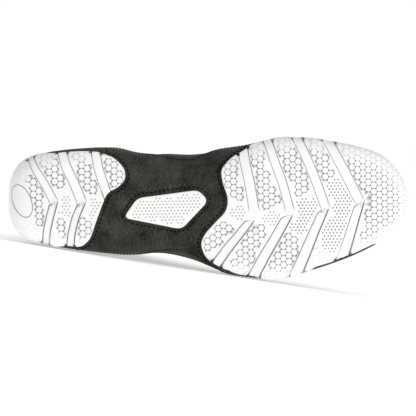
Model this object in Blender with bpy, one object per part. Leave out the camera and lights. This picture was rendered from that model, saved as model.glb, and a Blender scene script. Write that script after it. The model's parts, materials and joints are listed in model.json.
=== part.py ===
"""A left wrestling shoe with a split sole, lying on its lateral side.

The shoe is worked out as it stands: the heel at x = 0, the toe along +X, the lateral side
along +Y and the ground at z = 0. Every form comes from one surface, the last, which is a
row of rings from the toe, over the instep and round the heel, up to the collar. Shells
between two offsets of that surface are the upper, its overlays and the sole's pads.
An empty then lays the finished shoe on its side, as the hull of its solids rests.
"""

import math

import bmesh
import bpy
import numpy as np
from mathutils import Matrix, Vector
from mathutils.bvhtree import BVHTree

# Driving dimensions, in metres
SHOE_LENGTH = 0.281
BALL_WIDTH = 0.1006
HEEL_WIDTH = 0.0745
INSTEP_HEIGHT = 0.070
COLLAR_HEIGHT = 0.156

UPPER_WALL = 0.0020
SUEDE_THICKNESS = 0.0012
EYESTAY_THICKNESS = 0.0012
INSOLE_THICKNESS = 0.0030
TONGUE_THICKNESS = 0.0030
TONGUE_RISE = 0.010
TONGUE_CLEARANCE = 0.0004

TREAD_THICKNESS = 0.0042
SIDE_THICKNESS = 0.0022
ARCH_PAD_THICKNESS = 0.0022
ARCH_RISE = 0.0050
TOE_SPRING = 0.0110
TOE_SPRING_START = 0.205
MEDIAL_GROOVE_DEPTH = 0.0012
LATERAL_GROOVE_DEPTH = 0.0018

HEEL_WRAP_HEIGHT = 0.017
SIDE_WRAP_HEIGHT = 0.009
TOE_WRAP_HEIGHT = 0.0190

THROAT_HALF_WIDTH = 0.0115
EYELET_PAIRS = 8
EYELET_FROM_THROAT = 0.0075
EYELET_HOLE_RADIUS = 0.0021
EYELET_RADIUS = 0.0036
EYELET_HEIGHT = 0.0007
LACE_WIDTH = 0.0060
LACE_THICKNESS = 0.0014
LACE_CLEARANCE = 0.0005
LACE_STEPS = 5
HOLE_SIDES = 6
EYELET_SIDES = 6

GAP = 0.0003
SEAT = TREAD_THICKNESS
GROUND_TRIM = 0.0004

# How far cutters reach past what they cut
REACH = BALL_WIDTH

# The last's rings. x is a share of SHOE_LENGTH, front_z and back_z are heights above the seat:
# shares of INSTEP_HEIGHT in the foot's rings, and of COLLAR_HEIGHT in the shaft's.
# Half widths are shares of BALL_WIDTH in the foot's rings, and of HEEL_WIDTH in the shaft's.
# belly is the height of the widest place as a share of the ring, low and top are the powers of
# its rounding, arch is a share of ARCH_RISE and throat is a share of THROAT_HALF_WIDTH.
COLUMNS = (
    "back_x", "back_z", "front_x", "front_z", "lateral", "medial",
    "belly", "low", "top", "arch", "throat",
)
FOOT_RINGS = (
    (0.9915, 0.232, 0.9915, 0.238, 0.003, 0.003, 0.50, 2.2, 2.0, 0.0, 0.02),
    (0.9890, 0.190, 0.9890, 0.300, 0.072, 0.070, 0.48, 2.3, 2.0, 0.0, 0.10),
    (0.9808, 0.153, 0.9808, 0.360, 0.138, 0.136, 0.46, 2.6, 2.0, 0.0, 0.16),
    (0.9630, 0.120, 0.9630, 0.425, 0.210, 0.216, 0.42, 3.0, 2.1, 0.0, 0.20),
    (0.9340, 0.088, 0.9340, 0.495, 0.272, 0.290, 0.39, 3.5, 2.1, 0.0, 0.25),
    (0.8897, 0.055, 0.8897, 0.570, 0.340, 0.342, 0.36, 4.0, 2.1, 0.0, 0.28),
    (0.8327, 0.023, 0.8327, 0.650, 0.408, 0.378, 0.33, 4.6, 2.1, 0.0, 0.30),
    (0.7616, 0.003, 0.7616, 0.740, 0.474, 0.412, 0.30, 5.0, 2.1, 0.0, 0.35),
    (0.6762, 0.000, 0.6762, 0.860, 0.537, 0.418, 0.27, 5.0, 2.1, 0.0, 0.80),
    (0.5979, 0.012, 0.5979, 0.985, 0.523, 0.373, 0.26, 4.6, 2.2, 0.3, 1.00),
    (0.5267, 0.040, 0.5360, 1.100, 0.490, 0.345, 0.26, 4.2, 2.3, 0.8, 1.00),
)
SHAFT_RINGS = (
    (0.4555, 0.026, 0.4875, 0.545, 0.566, 0.434, 0.25, 4.0, 2.4, 1.0, 1.00),
    (0.3843, 0.024, 0.4484, 0.603, 0.508, 0.440, 0.22, 4.2, 2.5, 1.0, 1.00),
    (0.3132, 0.012, 0.4164, 0.663, 0.502, 0.430, 0.20, 4.6, 2.6, 0.7, 1.02),
    (0.2349, 0.001, 0.3932, 0.724, 0.486, 0.478, 0.18, 5.0, 2.6, 0.2, 1.04),
    (0.1566, 0.000, 0.3772, 0.779, 0.454, 0.470, 0.17, 5.0, 2.6, 0.0, 1.06),
    (0.0880, 0.000, 0.3665, 0.827, 0.420, 0.448, 0.18, 4.2, 2.6, 0.0, 1.08),
    (0.0380, 0.015, 0.3594, 0.869, 0.386, 0.424, 0.22, 3.5, 2.5, 0.0, 1.10),
    (0.0130, 0.061, 0.3541, 0.901, 0.392, 0.428, 0.30, 3.0, 2.5, 0.0, 1.12),
    (0.0060, 0.141, 0.3505, 0.926, 0.405, 0.434, 0.38, 2.6, 2.4, 0.0, 1.14),
    (0.0110, 0.269, 0.3480, 0.949, 0.418, 0.434, 0.44, 2.2, 2.4, 0.0, 1.16),
    (0.0265, 0.410, 0.3459, 0.965, 0.426, 0.434, 0.47, 2.2, 2.3, 0.0, 1.18),
    (0.0400, 0.564, 0.3438, 0.978, 0.424, 0.428, 0.49, 2.2, 2.3, 0.0, 1.20),
    (0.0445, 0.718, 0.3423, 0.987, 0.424, 0.426, 0.50, 2.2, 2.3, 0.0, 1.22),
    (0.0391, 0.859, 0.3409, 0.994, 0.432, 0.434, 0.50, 2.2, 2.3, 0.0, 1.24),
    (0.0320, 0.936, 0.3398, 1.000, 0.440, 0.442, 0.50, 2.2, 2.3, 0.0, 1.25),
    (0.0250, 1.006, 0.3370, 1.075, 0.448, 0.450, 0.50, 2.2, 2.3, 0.0, 1.26),
)
COLLAR_RING = len(FOOT_RINGS) + len(SHAFT_RINGS) - 2
THROAT_RING = 7.5
ROW_STEP = 0.0148
LOW_SHARES = (0.0, 0.36, 0.66, 0.86, 1.0)
TOP_CELLS = 6

# Plan points of the sole, as percents of SHOE_LENGTH from the heel and to the lateral side, of
# HEEL_WIDTH for the heel's and of BALL_WIDTH for the others, read off the underside view.
HEEL_PAD_FRONT = (
    (23.4, -51.3), (24.2, -44.0), (26.6, -39.8), (29.0, -30.2), (29.3, -19.6), (27.6, -12.2),
    (25.1, -6.1), (23.7, 4.7), (22.1, 21.1), (20.6, 36.5), (18.6, 44.0), (16.6, 47.9),
)
FOREFOOT_PAD_REAR = (
    (60.6, -41.0), (59.3, -36.2), (55.7, -29.5), (53.4, -21.5), (53.6, -12.5), (54.8, -1.5),
    (54.3, 7.6), (51.8, 15.5), (49.2, 24.0), (48.3, 31.5), (49.4, 39.9), (52.0, 46.4), (54.6, 52.5),
)
ARCH_PAD = ((29.0, 12.5), (32.4, -1.4), (47.6, -7.2), (50.0, 0.6), (43.4, 20.6))
ARCH_PAD_CORNER = 0.0045

# Flex grooves: their middle lines in the same percents, with widths in metres.
GROOVES = (
    ("heel", "medial", 0.0042, ((5.2, -45.9), (7.0, -30.4), (9.4, -14.9), (11.5, 0.7))),
    ("heel", "lateral", 0.0050, ((12.3, 2.7), (10.7, 16.2), (9.9, 32.4), (9.6, 51.3))),
    ("heel", "medial", 0.0063, ((13.3, -51.3), (14.6, -32.4), (16.6, -16.2), (18.5, 1.4))),
    ("heel", "lateral", 0.0054, ((19.2, 3.0), (17.6, 16.2), (16.5, 32.4), (15.9, 51.3))),
    ("heel", "medial", 0.0064, ((21.8, -51.3), (22.6, -32.4), (24.0, -14.9), (25.8, 2.7))),
    ("forefoot", "medial", 0.0056, ((58.2, -44.0), (59.2, -26.0), (60.4, -12.0), (61.6, 6.5))),
    ("forefoot", "lateral", 0.0057, ((61.0, 14.5), (57.4, 25.5), (54.2, 36.0), (50.8, 50.0))),
    ("forefoot", "medial", 0.0066, ((63.9, -50.0), (66.4, -28.0), (68.5, -12.0), (70.3, 6.5))),
    ("forefoot", "lateral", 0.0070, ((70.4, 11.0), (67.3, 26.0), (64.2, 40.0), (60.4, 60.0))),
    ("forefoot", "medial", 0.0068, ((70.3, -52.0), (74.2, -28.0), (77.0, -10.0), (79.2, 5.0))),
    ("forefoot", "lateral", 0.0067, ((79.4, 6.5), (76.6, 23.0), (73.9, 40.0), (71.0, 60.0))),
    ("forefoot", "medial", 0.0060, ((78.4, -50.0), (82.0, -30.0), (85.1, -14.0), (87.8, 0.5))),
    ("forefoot", "lateral", 0.0070, ((88.2, 2.0), (86.3, 18.0), (84.4, 34.0), (82.2, 52.0))),
)

# Heights of the sole's upper edge along the shoe, as shares of the three wrap heights.
HEEL_PAD_TOP = ((-0.05, "heel", 1.0), (0.03, "heel", 0.94), (0.10, "side", 1.15), (0.20, "side", 0.95),
                (0.35, "side", 0.85))
FOREFOOT_PAD_TOP = ((0.40, "side", 0.85), (0.60, "side", 1.0), (0.76, "side", 1.25), (0.86, "toe", 0.72),
                    (0.93, "toe", 0.88), (0.98, "toe", 0.98), (1.05, "toe", 1.0))

# The suede's upper edge above the seat, in shares of SHOE_LENGTH and INSTEP_HEIGHT.
SUEDE_EDGE = (
    ("x", "lateral", "medial"),
    (-0.05, 0.66, 0.66),
    (0.06, 0.64, 0.64),
    (0.14, 0.54, 0.56),
    (0.21, 0.40, 0.46),
    (0.28, 0.24, 0.33),
    (0.34, 0.14, 0.19),
    (0.40, 0.105, 0.105),
    (0.44, 0.10, 0.085),
    (0.48, 0.115, 0.10),
    (0.52, 0.16, 0.20),
    (0.57, 0.24, 0.31),
    (0.66, 0.31, 0.33),
    (0.76, 0.34, 0.34),
    (0.86, 0.39, 0.39),
    (0.95, 0.45, 0.45),
    (1.05, 0.47, 0.47),
)

BLACK_MESH = (0.028, 0.027, 0.026, 1.0)
BLACK_SUEDE = (0.034, 0.032, 0.029, 1.0)
WHITE_RUBBER = (0.86, 0.86, 0.85, 1.0)
LINING = (0.045, 0.045, 0.045, 1.0)
BLACK_ENAMEL = (0.02, 0.02, 0.02, 1.0)
LACE_BLACK = (0.03, 0.03, 0.03, 1.0)


def spline(points, places):
    """Smooth curve through the rows of points, read at places counted in rows."""
    points = np.asarray(points, float)
    last = len(points) - 1
    row = np.clip(np.floor(places).astype(int), 0, last - 1)
    t = (np.asarray(places, float) - row)[:, None]
    before, start = points[np.maximum(row - 1, 0)], points[row]
    end, after = points[row + 1], points[np.minimum(row + 2, last)]
    slope_in, slope_out = (end - before) / 2, (after - start) / 2
    return (
        start * (2 * t**3 - 3 * t**2 + 1)
        + slope_in * (t**3 - 2 * t**2 + t)
        + end * (3 * t**2 - 2 * t**3)
        + slope_out * (t**3 - t**2)
    )


def smooth_line(points, steps):
    """The smooth curve through a few points, with steps pieces between each two."""
    return spline(points, np.linspace(0, len(points) - 1, (len(points) - 1) * steps + 1))


def ring_table():
    """The rings' rows with every length in metres, the seat at z = 0."""
    rows = []
    for table, height, width in (
        (FOOT_RINGS, INSTEP_HEIGHT, BALL_WIDTH),
        (SHAFT_RINGS, COLLAR_HEIGHT, HEEL_WIDTH),
    ):
        for ring in table:
            r = dict(zip(COLUMNS, ring))
            rows.append((
                r["back_x"] * SHOE_LENGTH, r["back_z"] * height,
                r["front_x"] * SHOE_LENGTH, r["front_z"] * height,
                r["lateral"] * width, r["medial"] * width,
                r["belly"], r["low"], r["top"],
                r["arch"] * ARCH_RISE, r["throat"] * THROAT_HALF_WIDTH,
            ))
    return np.array(rows)


RINGS = ring_table()
DENSE = np.linspace(0, math.pi / 2, 97)


def ring_side(row, side):
    """One side of a ring, dense, from its back point up to its front point.

    Returns the points and the number of the widest one. side is 1 for lateral, -1 for medial.
    """
    back_x, back_z, front_x, front_z, lateral, medial, belly, low, top, arch, _ = row
    width = lateral if side > 0 else medial
    length = math.hypot(front_x - back_x, front_z - back_z)
    along = np.array([front_x - back_x, 0, front_z - back_z]) / max(length, 1e-9)
    low_length, top_length = belly * length, (1 - belly) * length
    across_low = width * np.sin(DENSE) ** (2 / low)
    up_low = low_length * (1 - np.cos(DENSE) ** (2 / low))
    across_top = width * np.cos(DENSE[1:]) ** (2 / top)
    up_top = low_length + top_length * np.sin(DENSE[1:]) ** (2 / top)
    if side < 0:
        up_low = up_low + arch * (across_low / width) ** 2 * (1 - up_low / low_length)
    across = np.concatenate([across_low, across_top])
    up = np.concatenate([up_low, up_top])
    points = np.array([back_x, 0, back_z + SEAT]) + up[:, None] * along
    points[:, 1] = side * across
    return points, len(DENSE) - 1


def lengths_along(points):
    """Distance along a polyline at each of its points."""
    return np.concatenate([[0], np.cumsum(np.linalg.norm(np.diff(points, axis=0), axis=1))])


def at_distance(points, distances, where):
    """Points of a polyline at the given distances along it."""
    return np.stack([np.interp(where, distances, points[:, k]) for k in range(3)], axis=1)


def side_columns(row, side):
    """A ring side's grid points: the low cells, the top cells up to the throat's edge, and the front."""
    points, widest = ring_side(row, side)
    distances = lengths_along(points)
    low_end, end = distances[widest], distances[-1]
    throat = min(row[-1], 0.3 * (end - low_end))
    low = np.array(LOW_SHARES) * low_end
    top = low_end + (end - throat - low_end) * np.arange(1, TOP_CELLS + 1) / TOP_CELLS
    return at_distance(points, distances, np.concatenate([low, top, [end]]))


def ring_columns(row):
    """A whole ring's grid points, from the back up the lateral side and down the medial side."""
    lateral, medial = side_columns(row, 1), side_columns(row, -1)
    return np.concatenate([lateral, medial[-2:0:-1]])


def row_places():
    """Places in the ring table where the grid has its rows, about ROW_STEP apart or closer."""
    places = [0.0]
    for ring in range(COLLAR_RING):
        gap = RINGS[ring + 1, :4] - RINGS[ring, :4]
        reach = max(math.hypot(gap[0], gap[1]), math.hypot(gap[2], gap[3]))
        pieces = max(1, round(reach / ROW_STEP))
        places += [ring + (k + 1) / pieces for k in range(pieces)]
    return np.array(places)


PLACES = row_places()
TONGUE_PLACE = COLLAR_RING + TONGUE_RISE / np.linalg.norm(RINGS[-1, 2:4] - RINGS[-2, 2:4])
ALL_GRID = np.array([ring_columns(row) for row in spline(RINGS, np.append(PLACES, TONGUE_PLACE))])
FRONT_COLUMN = len(LOW_SHARES) - 1 + TOP_CELLS + 1
THROAT_ROW = int(np.argmin(abs(PLACES - THROAT_RING)))


def grid_normals(grid):
    """Outward unit normals at the grid's points."""
    along = np.gradient(grid, axis=0)
    around = np.roll(grid, -1, axis=1) - np.roll(grid, 1, axis=1)
    normals = np.cross(along, around)
    lengths = np.linalg.norm(normals, axis=2, keepdims=True)
    normals = normals / np.maximum(lengths, 1e-12)
    normals[0] = (1, 0, 0)
    return normals


ALL_NORMALS = grid_normals(ALL_GRID)
GRID, NORMALS = ALL_GRID[:-1], ALL_NORMALS[:-1]


def offset_grid(distance):
    """The grid moved out along its normals, by one distance or by one for each point."""
    return GRID + NORMALS * np.broadcast_to(distance, GRID.shape[:2])[..., None]


def tread_offset(thickness):
    """Offsets of a sole's outer face: thickness underfoot, easing to SIDE_THICKNESS on the sides."""
    down = np.clip(-NORMALS[..., 2], 0, 1) ** 1.5
    return GAP + SIDE_THICKNESS + (thickness - SIDE_THICKNESS) * down


def material(name, colour, roughness):
    """A plain Principled material."""
    made = bpy.data.materials.new(name)
    made.use_nodes = True
    shader = made.node_tree.nodes["Principled BSDF"]
    shader.inputs["Base Color"].default_value = colour
    shader.inputs["Roughness"].default_value = roughness
    made.diffuse_color = colour
    return made


def new_object(name, vertices, faces):
    """An object in the scene from plain vertices and faces, with outward normals."""
    mesh = bpy.data.meshes.new(name)
    mesh.from_pydata([tuple(v) for v in vertices], [], faces)
    shape = bmesh.new()
    shape.from_mesh(mesh)
    bmesh.ops.remove_doubles(shape, verts=shape.verts, dist=1e-6)
    bmesh.ops.dissolve_degenerate(shape, dist=1e-7, edges=shape.edges)
    bmesh.ops.recalc_face_normals(shape, faces=shape.faces)
    shape.to_mesh(mesh)
    shape.free()
    made = bpy.data.objects.new(name, mesh)
    bpy.context.scene.collection.objects.link(made)
    return made


def cell_triangles(row, left, right, columns):
    """A grid cell's two triangles, split the same way at every offset, so that offsets never cross."""
    a, b = row * columns + left, (row + 1) * columns + left
    c, d = (row + 1) * columns + right, row * columns + right
    return [(a, b, c), (a, c, d)]


def closed_sock(name, distance):
    """The last's whole form at an offset, closed at the toe and at the collar."""
    grid = offset_grid(distance)
    rows, columns = grid.shape[:2]
    grid[0] = grid[0].mean(axis=0)
    faces = []
    for r in range(rows - 1):
        for c in range(columns):
            faces += cell_triangles(r, c, (c + 1) % columns, columns)
    faces.append(tuple((rows - 1) * columns + c for c in range(columns)))
    return new_object(name, grid.reshape(-1, 3), faces)


def shell(name, outer, inner, kept):
    """A closed shell between two grids of the same size, over the kept cells."""
    rows, columns = outer.shape[:2]
    count = rows * columns
    around = kept.shape[1] == columns
    faces, edges = [], {}
    for r in range(kept.shape[0]):
        for c in range(kept.shape[1]):
            if not kept[r, c]:
                continue
            right = (c + 1) % columns if around else c + 1
            for ring in cell_triangles(r, c, right, columns):
                faces.append(ring)
                faces.append(tuple(count + v for v in reversed(ring)))
                for a, b in zip(ring, ring[1:] + ring[:1]):
                    if (b, a) in edges:
                        del edges[(b, a)]
                    else:
                        edges[(a, b)] = True
    faces += [(b, a, count + a, count + b) for a, b in edges]
    used = sorted({v for face in faces for v in face})
    number = {v: k for k, v in enumerate(used)}
    points = np.concatenate([outer.reshape(-1, 3), inner.reshape(-1, 3)])[used]
    return new_object(name, points, [tuple(number[v] for v in face) for face in faces])


def boolean(target, tool, operation):
    """Applies an exact Boolean to target and deletes the tool."""
    cut = target.modifiers.new("cut", "BOOLEAN")
    cut.operation = operation
    cut.solver = "EXACT"
    cut.object = tool
    bpy.context.view_layer.update()
    graph = bpy.context.evaluated_depsgraph_get()
    result = bpy.data.meshes.new_from_object(target.evaluated_get(graph))
    target.modifiers.clear()
    target.data = result
    bpy.data.objects.remove(tool)
    return target


def turn_pinched_edges(shape):
    """Turns the diagonal of two coplanar triangles where it lies on an edge of two other faces."""
    for edge in [e for e in shape.edges if len(e.link_faces) > 2]:
        faces = list(edge.link_faces)
        pairs = [(f, g) for k, f in enumerate(faces) for g in faces[k + 1:] if f.normal.dot(g.normal) > 0.9999]
        if not pairs:
            continue
        corners = [[v for v in face.verts if v not in edge.verts][0] for face in pairs[0]]
        normal = pairs[0][0].normal.copy()
        for face in pairs[0]:
            shape.faces.remove(face)
        for end in edge.verts:
            made = shape.faces.new((end, *corners))
            made.normal_update()
            if made.normal.dot(normal) < 0:
                made.normal_flip()


def tidy(target, smallest=0.000002):
    """Welds the slivers that Booleans leave, and splits every face into triangles."""
    shape = bmesh.new()
    shape.from_mesh(target.data)
    bmesh.ops.remove_doubles(shape, verts=shape.verts, dist=smallest)
    bmesh.ops.dissolve_degenerate(shape, dist=smallest, edges=shape.edges)
    bmesh.ops.triangulate(shape, faces=shape.faces)
    turn_pinched_edges(shape)
    shape.to_mesh(target.data)
    shape.free()
    return target


def plan(points, width=BALL_WIDTH):
    """Plan points in metres from percents of the length and of a width."""
    return np.array([(x * SHOE_LENGTH / 100, y * width / 100) for x, y in points])


def grown(outline, distance):
    """A closed plan outline, moved outwards by a distance."""
    ahead = np.roll(outline, -1, axis=0) - outline
    behind = outline - np.roll(outline, 1, axis=0)
    tangents = ahead / np.linalg.norm(ahead, axis=1)[:, None] + behind / np.linalg.norm(behind, axis=1)[:, None]
    normals = np.stack([tangents[:, 1], -tangents[:, 0]], axis=1)
    normals /= np.linalg.norm(normals, axis=1)[:, None]
    area = np.sum(outline[:, 0] * np.roll(outline[:, 1], -1) - np.roll(outline[:, 0], -1) * outline[:, 1])
    return outline + normals * distance * np.sign(area)


def prism(name, outline, low, high, axis="z"):
    """A closed prism over a plan outline, or along y over a side outline of x and z."""
    count = len(outline)
    if axis == "z":
        points = [(x, y, h) for h in (low, high) for x, y in outline]
    else:
        points = [(x, h, z) for h in (low, high) for x, z in outline]
    faces = [(k, (k + 1) % count, count + (k + 1) % count, count + k) for k in range(count)]
    faces += [tuple(range(count)), tuple(range(count, 2 * count))]
    return new_object(name, points, faces)


def ground(x):
    """Height of the tread's underside along the shoe: flat, then the toe spring."""
    start = TOE_SPRING_START
    share = np.clip((np.asarray(x, float) - start) / (SHOE_LENGTH - start), 0, None)
    return TOE_SPRING * share**2


def wrap_heights(table):
    """The sole's upper edge as points of x and z, from a table of shares."""
    heights = {"heel": HEEL_WRAP_HEIGHT, "side": SIDE_WRAP_HEIGHT, "toe": TOE_WRAP_HEIGHT}
    line = np.array([(x * SHOE_LENGTH, heights[which] * share) for x, which, share in table])
    return smooth_line(line, 3)


def side_envelope(name, top_line, clearance):
    """The room between the ground and the sole's upper edge, through the shoe's whole width."""
    xs = np.linspace(top_line[0, 0], top_line[-1, 0], 25)
    floor = np.stack([xs, ground(xs) - clearance], axis=1)
    roof = top_line[::-1] + np.array([0, clearance])
    return prism(name, np.concatenate([floor, roof]), -REACH, REACH, axis="y")


def heel_outline():
    """Plan outline that holds the heel pad: its front edge, and the room behind it."""
    front = smooth_line(plan(HEEL_PAD_FRONT, HEEL_WIDTH), 2)
    (first_x, _), (last_x, _) = front[0], front[-1]
    far = REACH
    behind = [(last_x, far), (-far, far), (-far, -far), (first_x, -far)]
    return np.concatenate([front, np.array(behind)])


def forefoot_outline():
    """Plan outline that holds the forefoot pad: its rear edge, and the room ahead of it."""
    rear = smooth_line(plan(FOREFOOT_PAD_REAR), 2)
    (first_x, _), (last_x, _) = rear[0], rear[-1]
    far, ahead = REACH, SHOE_LENGTH + REACH
    beyond = [(last_x, far), (ahead, far), (ahead, -far), (first_x, -far)]
    return np.concatenate([rear, np.array(beyond)])


def arch_outline():
    """Plan outline of the arch pad, its corners rounded."""
    corners = plan(ARCH_PAD)
    points = []
    for before, corner, after in zip(np.roll(corners, 1, axis=0), corners, np.roll(corners, -1, axis=0)):
        start = corner + (before - corner) / np.linalg.norm(before - corner) * ARCH_PAD_CORNER
        end = corner + (after - corner) / np.linalg.norm(after - corner) * ARCH_PAD_CORNER
        for t in (0.0, 0.33, 0.67, 1.0):
            points.append(start * (1 - t) ** 2 + corner * 2 * t * (1 - t) + end * t**2)
    return np.array(points)


def ribbon(middle, width, pointed):
    """Outline of a groove of one width round its middle line, with a pointed start for a lateral arm."""
    tangents = np.gradient(middle, axis=0)
    tangents /= np.linalg.norm(tangents, axis=1)[:, None]
    normals = np.stack([-tangents[:, 1], tangents[:, 0]], axis=1) * width / 2
    left, right = middle + normals, middle - normals
    if pointed:
        tip = middle[0] - tangents[0] * width * 0.35 + normals[0] * 0.75
        return np.concatenate([[tip], left, right[::-1]])
    return np.concatenate([left, right[::-1]])


def groove_cutter(pad, arm, depth):
    """The grooves of one pad and one side, from outside the shoe down to their floors."""
    cutters = []
    for number, (where, side, width, middle) in enumerate(GROOVES):
        if (where, side) != (pad, arm):
            continue
        line = smooth_line(plan(middle, HEEL_WIDTH if pad == "heel" else BALL_WIDTH), 3)
        outline = ribbon(line, width, side == "lateral")
        cutters.append(prism(f"groove_{number}", outline, -REACH, REACH))
    joined = cutters[0]
    for other in cutters[1:]:
        boolean(joined, other, "UNION")
    floor = tread_offset(TREAD_THICKNESS) - depth
    return boolean(joined, closed_sock("groove_floor", floor), "DIFFERENCE")


def sole_pad(name, outline, top_table, look):
    """A rubber pad: the room between the last and the tread, inside its outline and below its edge."""
    envelope = prism(name, outline, -REACH, REACH)
    boolean(envelope, side_envelope("room", wrap_heights(top_table), 0.0), "INTERSECT")
    pad = closed_sock(name, tread_offset(TREAD_THICKNESS + GROUND_TRIM))
    boolean(pad, envelope, "INTERSECT")
    where = "heel" if "heel" in name else "forefoot"
    boolean(pad, groove_cutter(where, "medial", MEDIAL_GROOVE_DEPTH), "DIFFERENCE")
    boolean(pad, groove_cutter(where, "lateral", LATERAL_GROOVE_DEPTH), "DIFFERENCE")
    boolean(pad, closed_sock("inside", GAP), "DIFFERENCE")
    pad.name = name
    pad.data.materials.clear()
    pad.data.materials.append(look)
    return tidy(pad)


def suede_room():
    """The room below the suede's dipping upper edge, lower where its side says so."""
    lines = np.array(SUEDE_EDGE[1:])
    fine = smooth_line(lines, 2)
    xs = fine[:, 0] * SHOE_LENGTH
    lateral, medial = (SEAT + fine[:, k] * INSTEP_HEIGHT for k in (1, 2))
    far, near, low = REACH, BALL_WIDTH * 0.02, -REACH
    stations = ((-far, medial), (-near, medial), (near, lateral), (far, lateral))
    points, count = [], len(xs)
    for y, heights in stations:
        points += [(x, y, h) for x, h in zip(xs, heights)]
        points += [(x, y, low) for x in xs]
    faces = []
    for s in range(len(stations) - 1):
        a, b = s * 2 * count, (s + 1) * 2 * count
        for k in range(count - 1):
            faces.append((a + k, a + k + 1, b + k + 1, b + k))
            faces.append((a + count + k, b + count + k, b + count + k + 1, a + count + k + 1))
        faces.append((a, b, b + count, a + count))
        faces.append((a + count - 1, a + 2 * count - 1, b + 2 * count - 1, b + count - 1))
    end = (len(stations) - 1) * 2 * count
    for k in range(count - 1):
        faces.append((k, k + count, k + count + 1, k + 1))
        faces.append((end + k, end + k + 1, end + k + count + 1, end + k + count))
    return new_object("suede_room", points, faces)


def suede_wrap(look):
    """The suede lower: a skin over the upper, open where the heel and forefoot pads lie."""
    wrap = closed_sock("suede_wrap", GAP + SUEDE_THICKNESS)
    boolean(wrap, suede_room(), "INTERSECT")
    for outline, table in ((heel_outline(), HEEL_PAD_TOP), (forefoot_outline(), FOREFOOT_PAD_TOP)):
        envelope = prism("pad_room", grown(outline, GAP), -REACH, REACH)
        boolean(envelope, side_envelope("room", wrap_heights(table), GAP), "INTERSECT")
        boolean(wrap, envelope, "DIFFERENCE")
    boolean(wrap, closed_sock("inside", GAP), "DIFFERENCE")
    wrap.data.materials.clear()
    wrap.data.materials.append(look)
    return tidy(wrap)


def arch_pad(look):
    """The small pad on the suede under the arch."""
    seat = GAP + SUEDE_THICKNESS + GAP
    pad = closed_sock("outsole_arch", seat + ARCH_PAD_THICKNESS)
    boolean(pad, prism("outline", arch_outline(), -REACH, INSTEP_HEIGHT * 0.4), "INTERSECT")
    boolean(pad, closed_sock("inside", seat), "DIFFERENCE")
    pad.data.materials.clear()
    pad.data.materials.append(look)
    return tidy(pad)


def insole(look):
    """A flat-topped footbed that fits the upper's inside."""
    inside = UPPER_WALL + GAP
    rows = [k for k in range(len(GRID)) if GRID[k, 0, 0] > 0.09 * SHOE_LENGTH]
    xs = np.array([GRID[k, 0, 0] for k in rows])[::-1]
    zs = np.array([GRID[k, 0, 2] for k in rows])[::-1]
    xs, zs = np.concatenate([[-REACH], xs]), np.concatenate([[SEAT], zs])
    top = np.stack([xs, zs + inside + INSOLE_THICKNESS], axis=1)
    low = np.stack([xs[::-1], zs[::-1] - INSOLE_THICKNESS], axis=1)
    slab = prism("insole", np.concatenate([top, low]), -REACH, REACH, axis="y")
    boolean(slab, closed_sock("inside", -inside), "INTERSECT")
    slab.data.materials.clear()
    slab.data.materials.append(look)
    return tidy(slab)


def front_point(place, across, lift):
    """A point over the shoe's front: a ring place, a distance across from the front line and a lift."""

    def on_surface(u, v):
        row = spline(RINGS, np.array([u]))[0]
        points, _ = ring_side(row, 1 if v >= 0 else -1)
        distances = lengths_along(points)
        return at_distance(points, distances, np.array([distances[-1] - abs(v)]))[0]

    step = 0.0005
    here = on_surface(place, across)
    along = on_surface(place + 0.05, across) - on_surface(place - 0.05, across)
    over = on_surface(place, across + step) - on_surface(place, across - step)
    normal = np.cross(over, along)
    return here + normal / np.linalg.norm(normal) * lift, normal / np.linalg.norm(normal)


def front_places(count, start, end):
    """Ring places evenly spaced by distance along the front line."""
    fine = np.linspace(start, end, 200)
    line = np.array([spline(RINGS, np.array([u]))[0][2:4] for u in fine])
    distances = np.concatenate([[0], np.cumsum(np.linalg.norm(np.diff(line, axis=0), axis=1))])
    return np.interp(np.linspace(0, distances[-1], count), distances, fine)


def tongue(look):
    """The tongue: a strip under the throat, from under the vamp to above the collar."""
    lift = UPPER_WALL + TONGUE_CLEARANCE
    outer = ALL_GRID - ALL_NORMALS * lift
    inner = ALL_GRID - ALL_NORMALS * (lift + TONGUE_THICKNESS)
    kept = np.zeros((len(ALL_GRID) - 1, GRID.shape[1]), bool)
    kept[THROAT_ROW - 2:, FRONT_COLUMN - 2:FRONT_COLUMN + 2] = True
    made = shell("tongue", outer, inner, kept)
    made.data.materials.append(look)
    return made


def throat_cells():
    """Which of the grid's cells the upper has: all but the throat."""
    kept = np.ones((len(PLACES) - 1, GRID.shape[1]), bool)
    kept[THROAT_ROW:, FRONT_COLUMN - 1:FRONT_COLUMN + 1] = False
    return kept


def eyestay_cells():
    """The cells of the facing: two columns each side of the throat, and across its foot."""
    kept = np.zeros((len(PLACES) - 1, GRID.shape[1]), bool)
    kept[THROAT_ROW - 1:, FRONT_COLUMN - 3:FRONT_COLUMN + 3] = True
    return kept & throat_cells()


def facing_height(tree, centre, normal):
    """Height above a point of the highest spot of the facing under an eyelet's flange."""
    axis = Vector(normal).to_track_quat("Z", "Y").to_matrix()
    highest = 0.0
    for k in range(9):
        angle, radius = math.pi * k / 4, EYELET_RADIUS if k else 0.0
        spot = axis @ Vector((radius * math.cos(angle), radius * math.sin(angle), REACH / 4))
        hit = tree.ray_cast(Vector(centre) + spot, -Vector(normal))[0]
        if hit:
            highest = max(highest, (hit - Vector(centre)).dot(Vector(normal)))
    return highest


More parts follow.
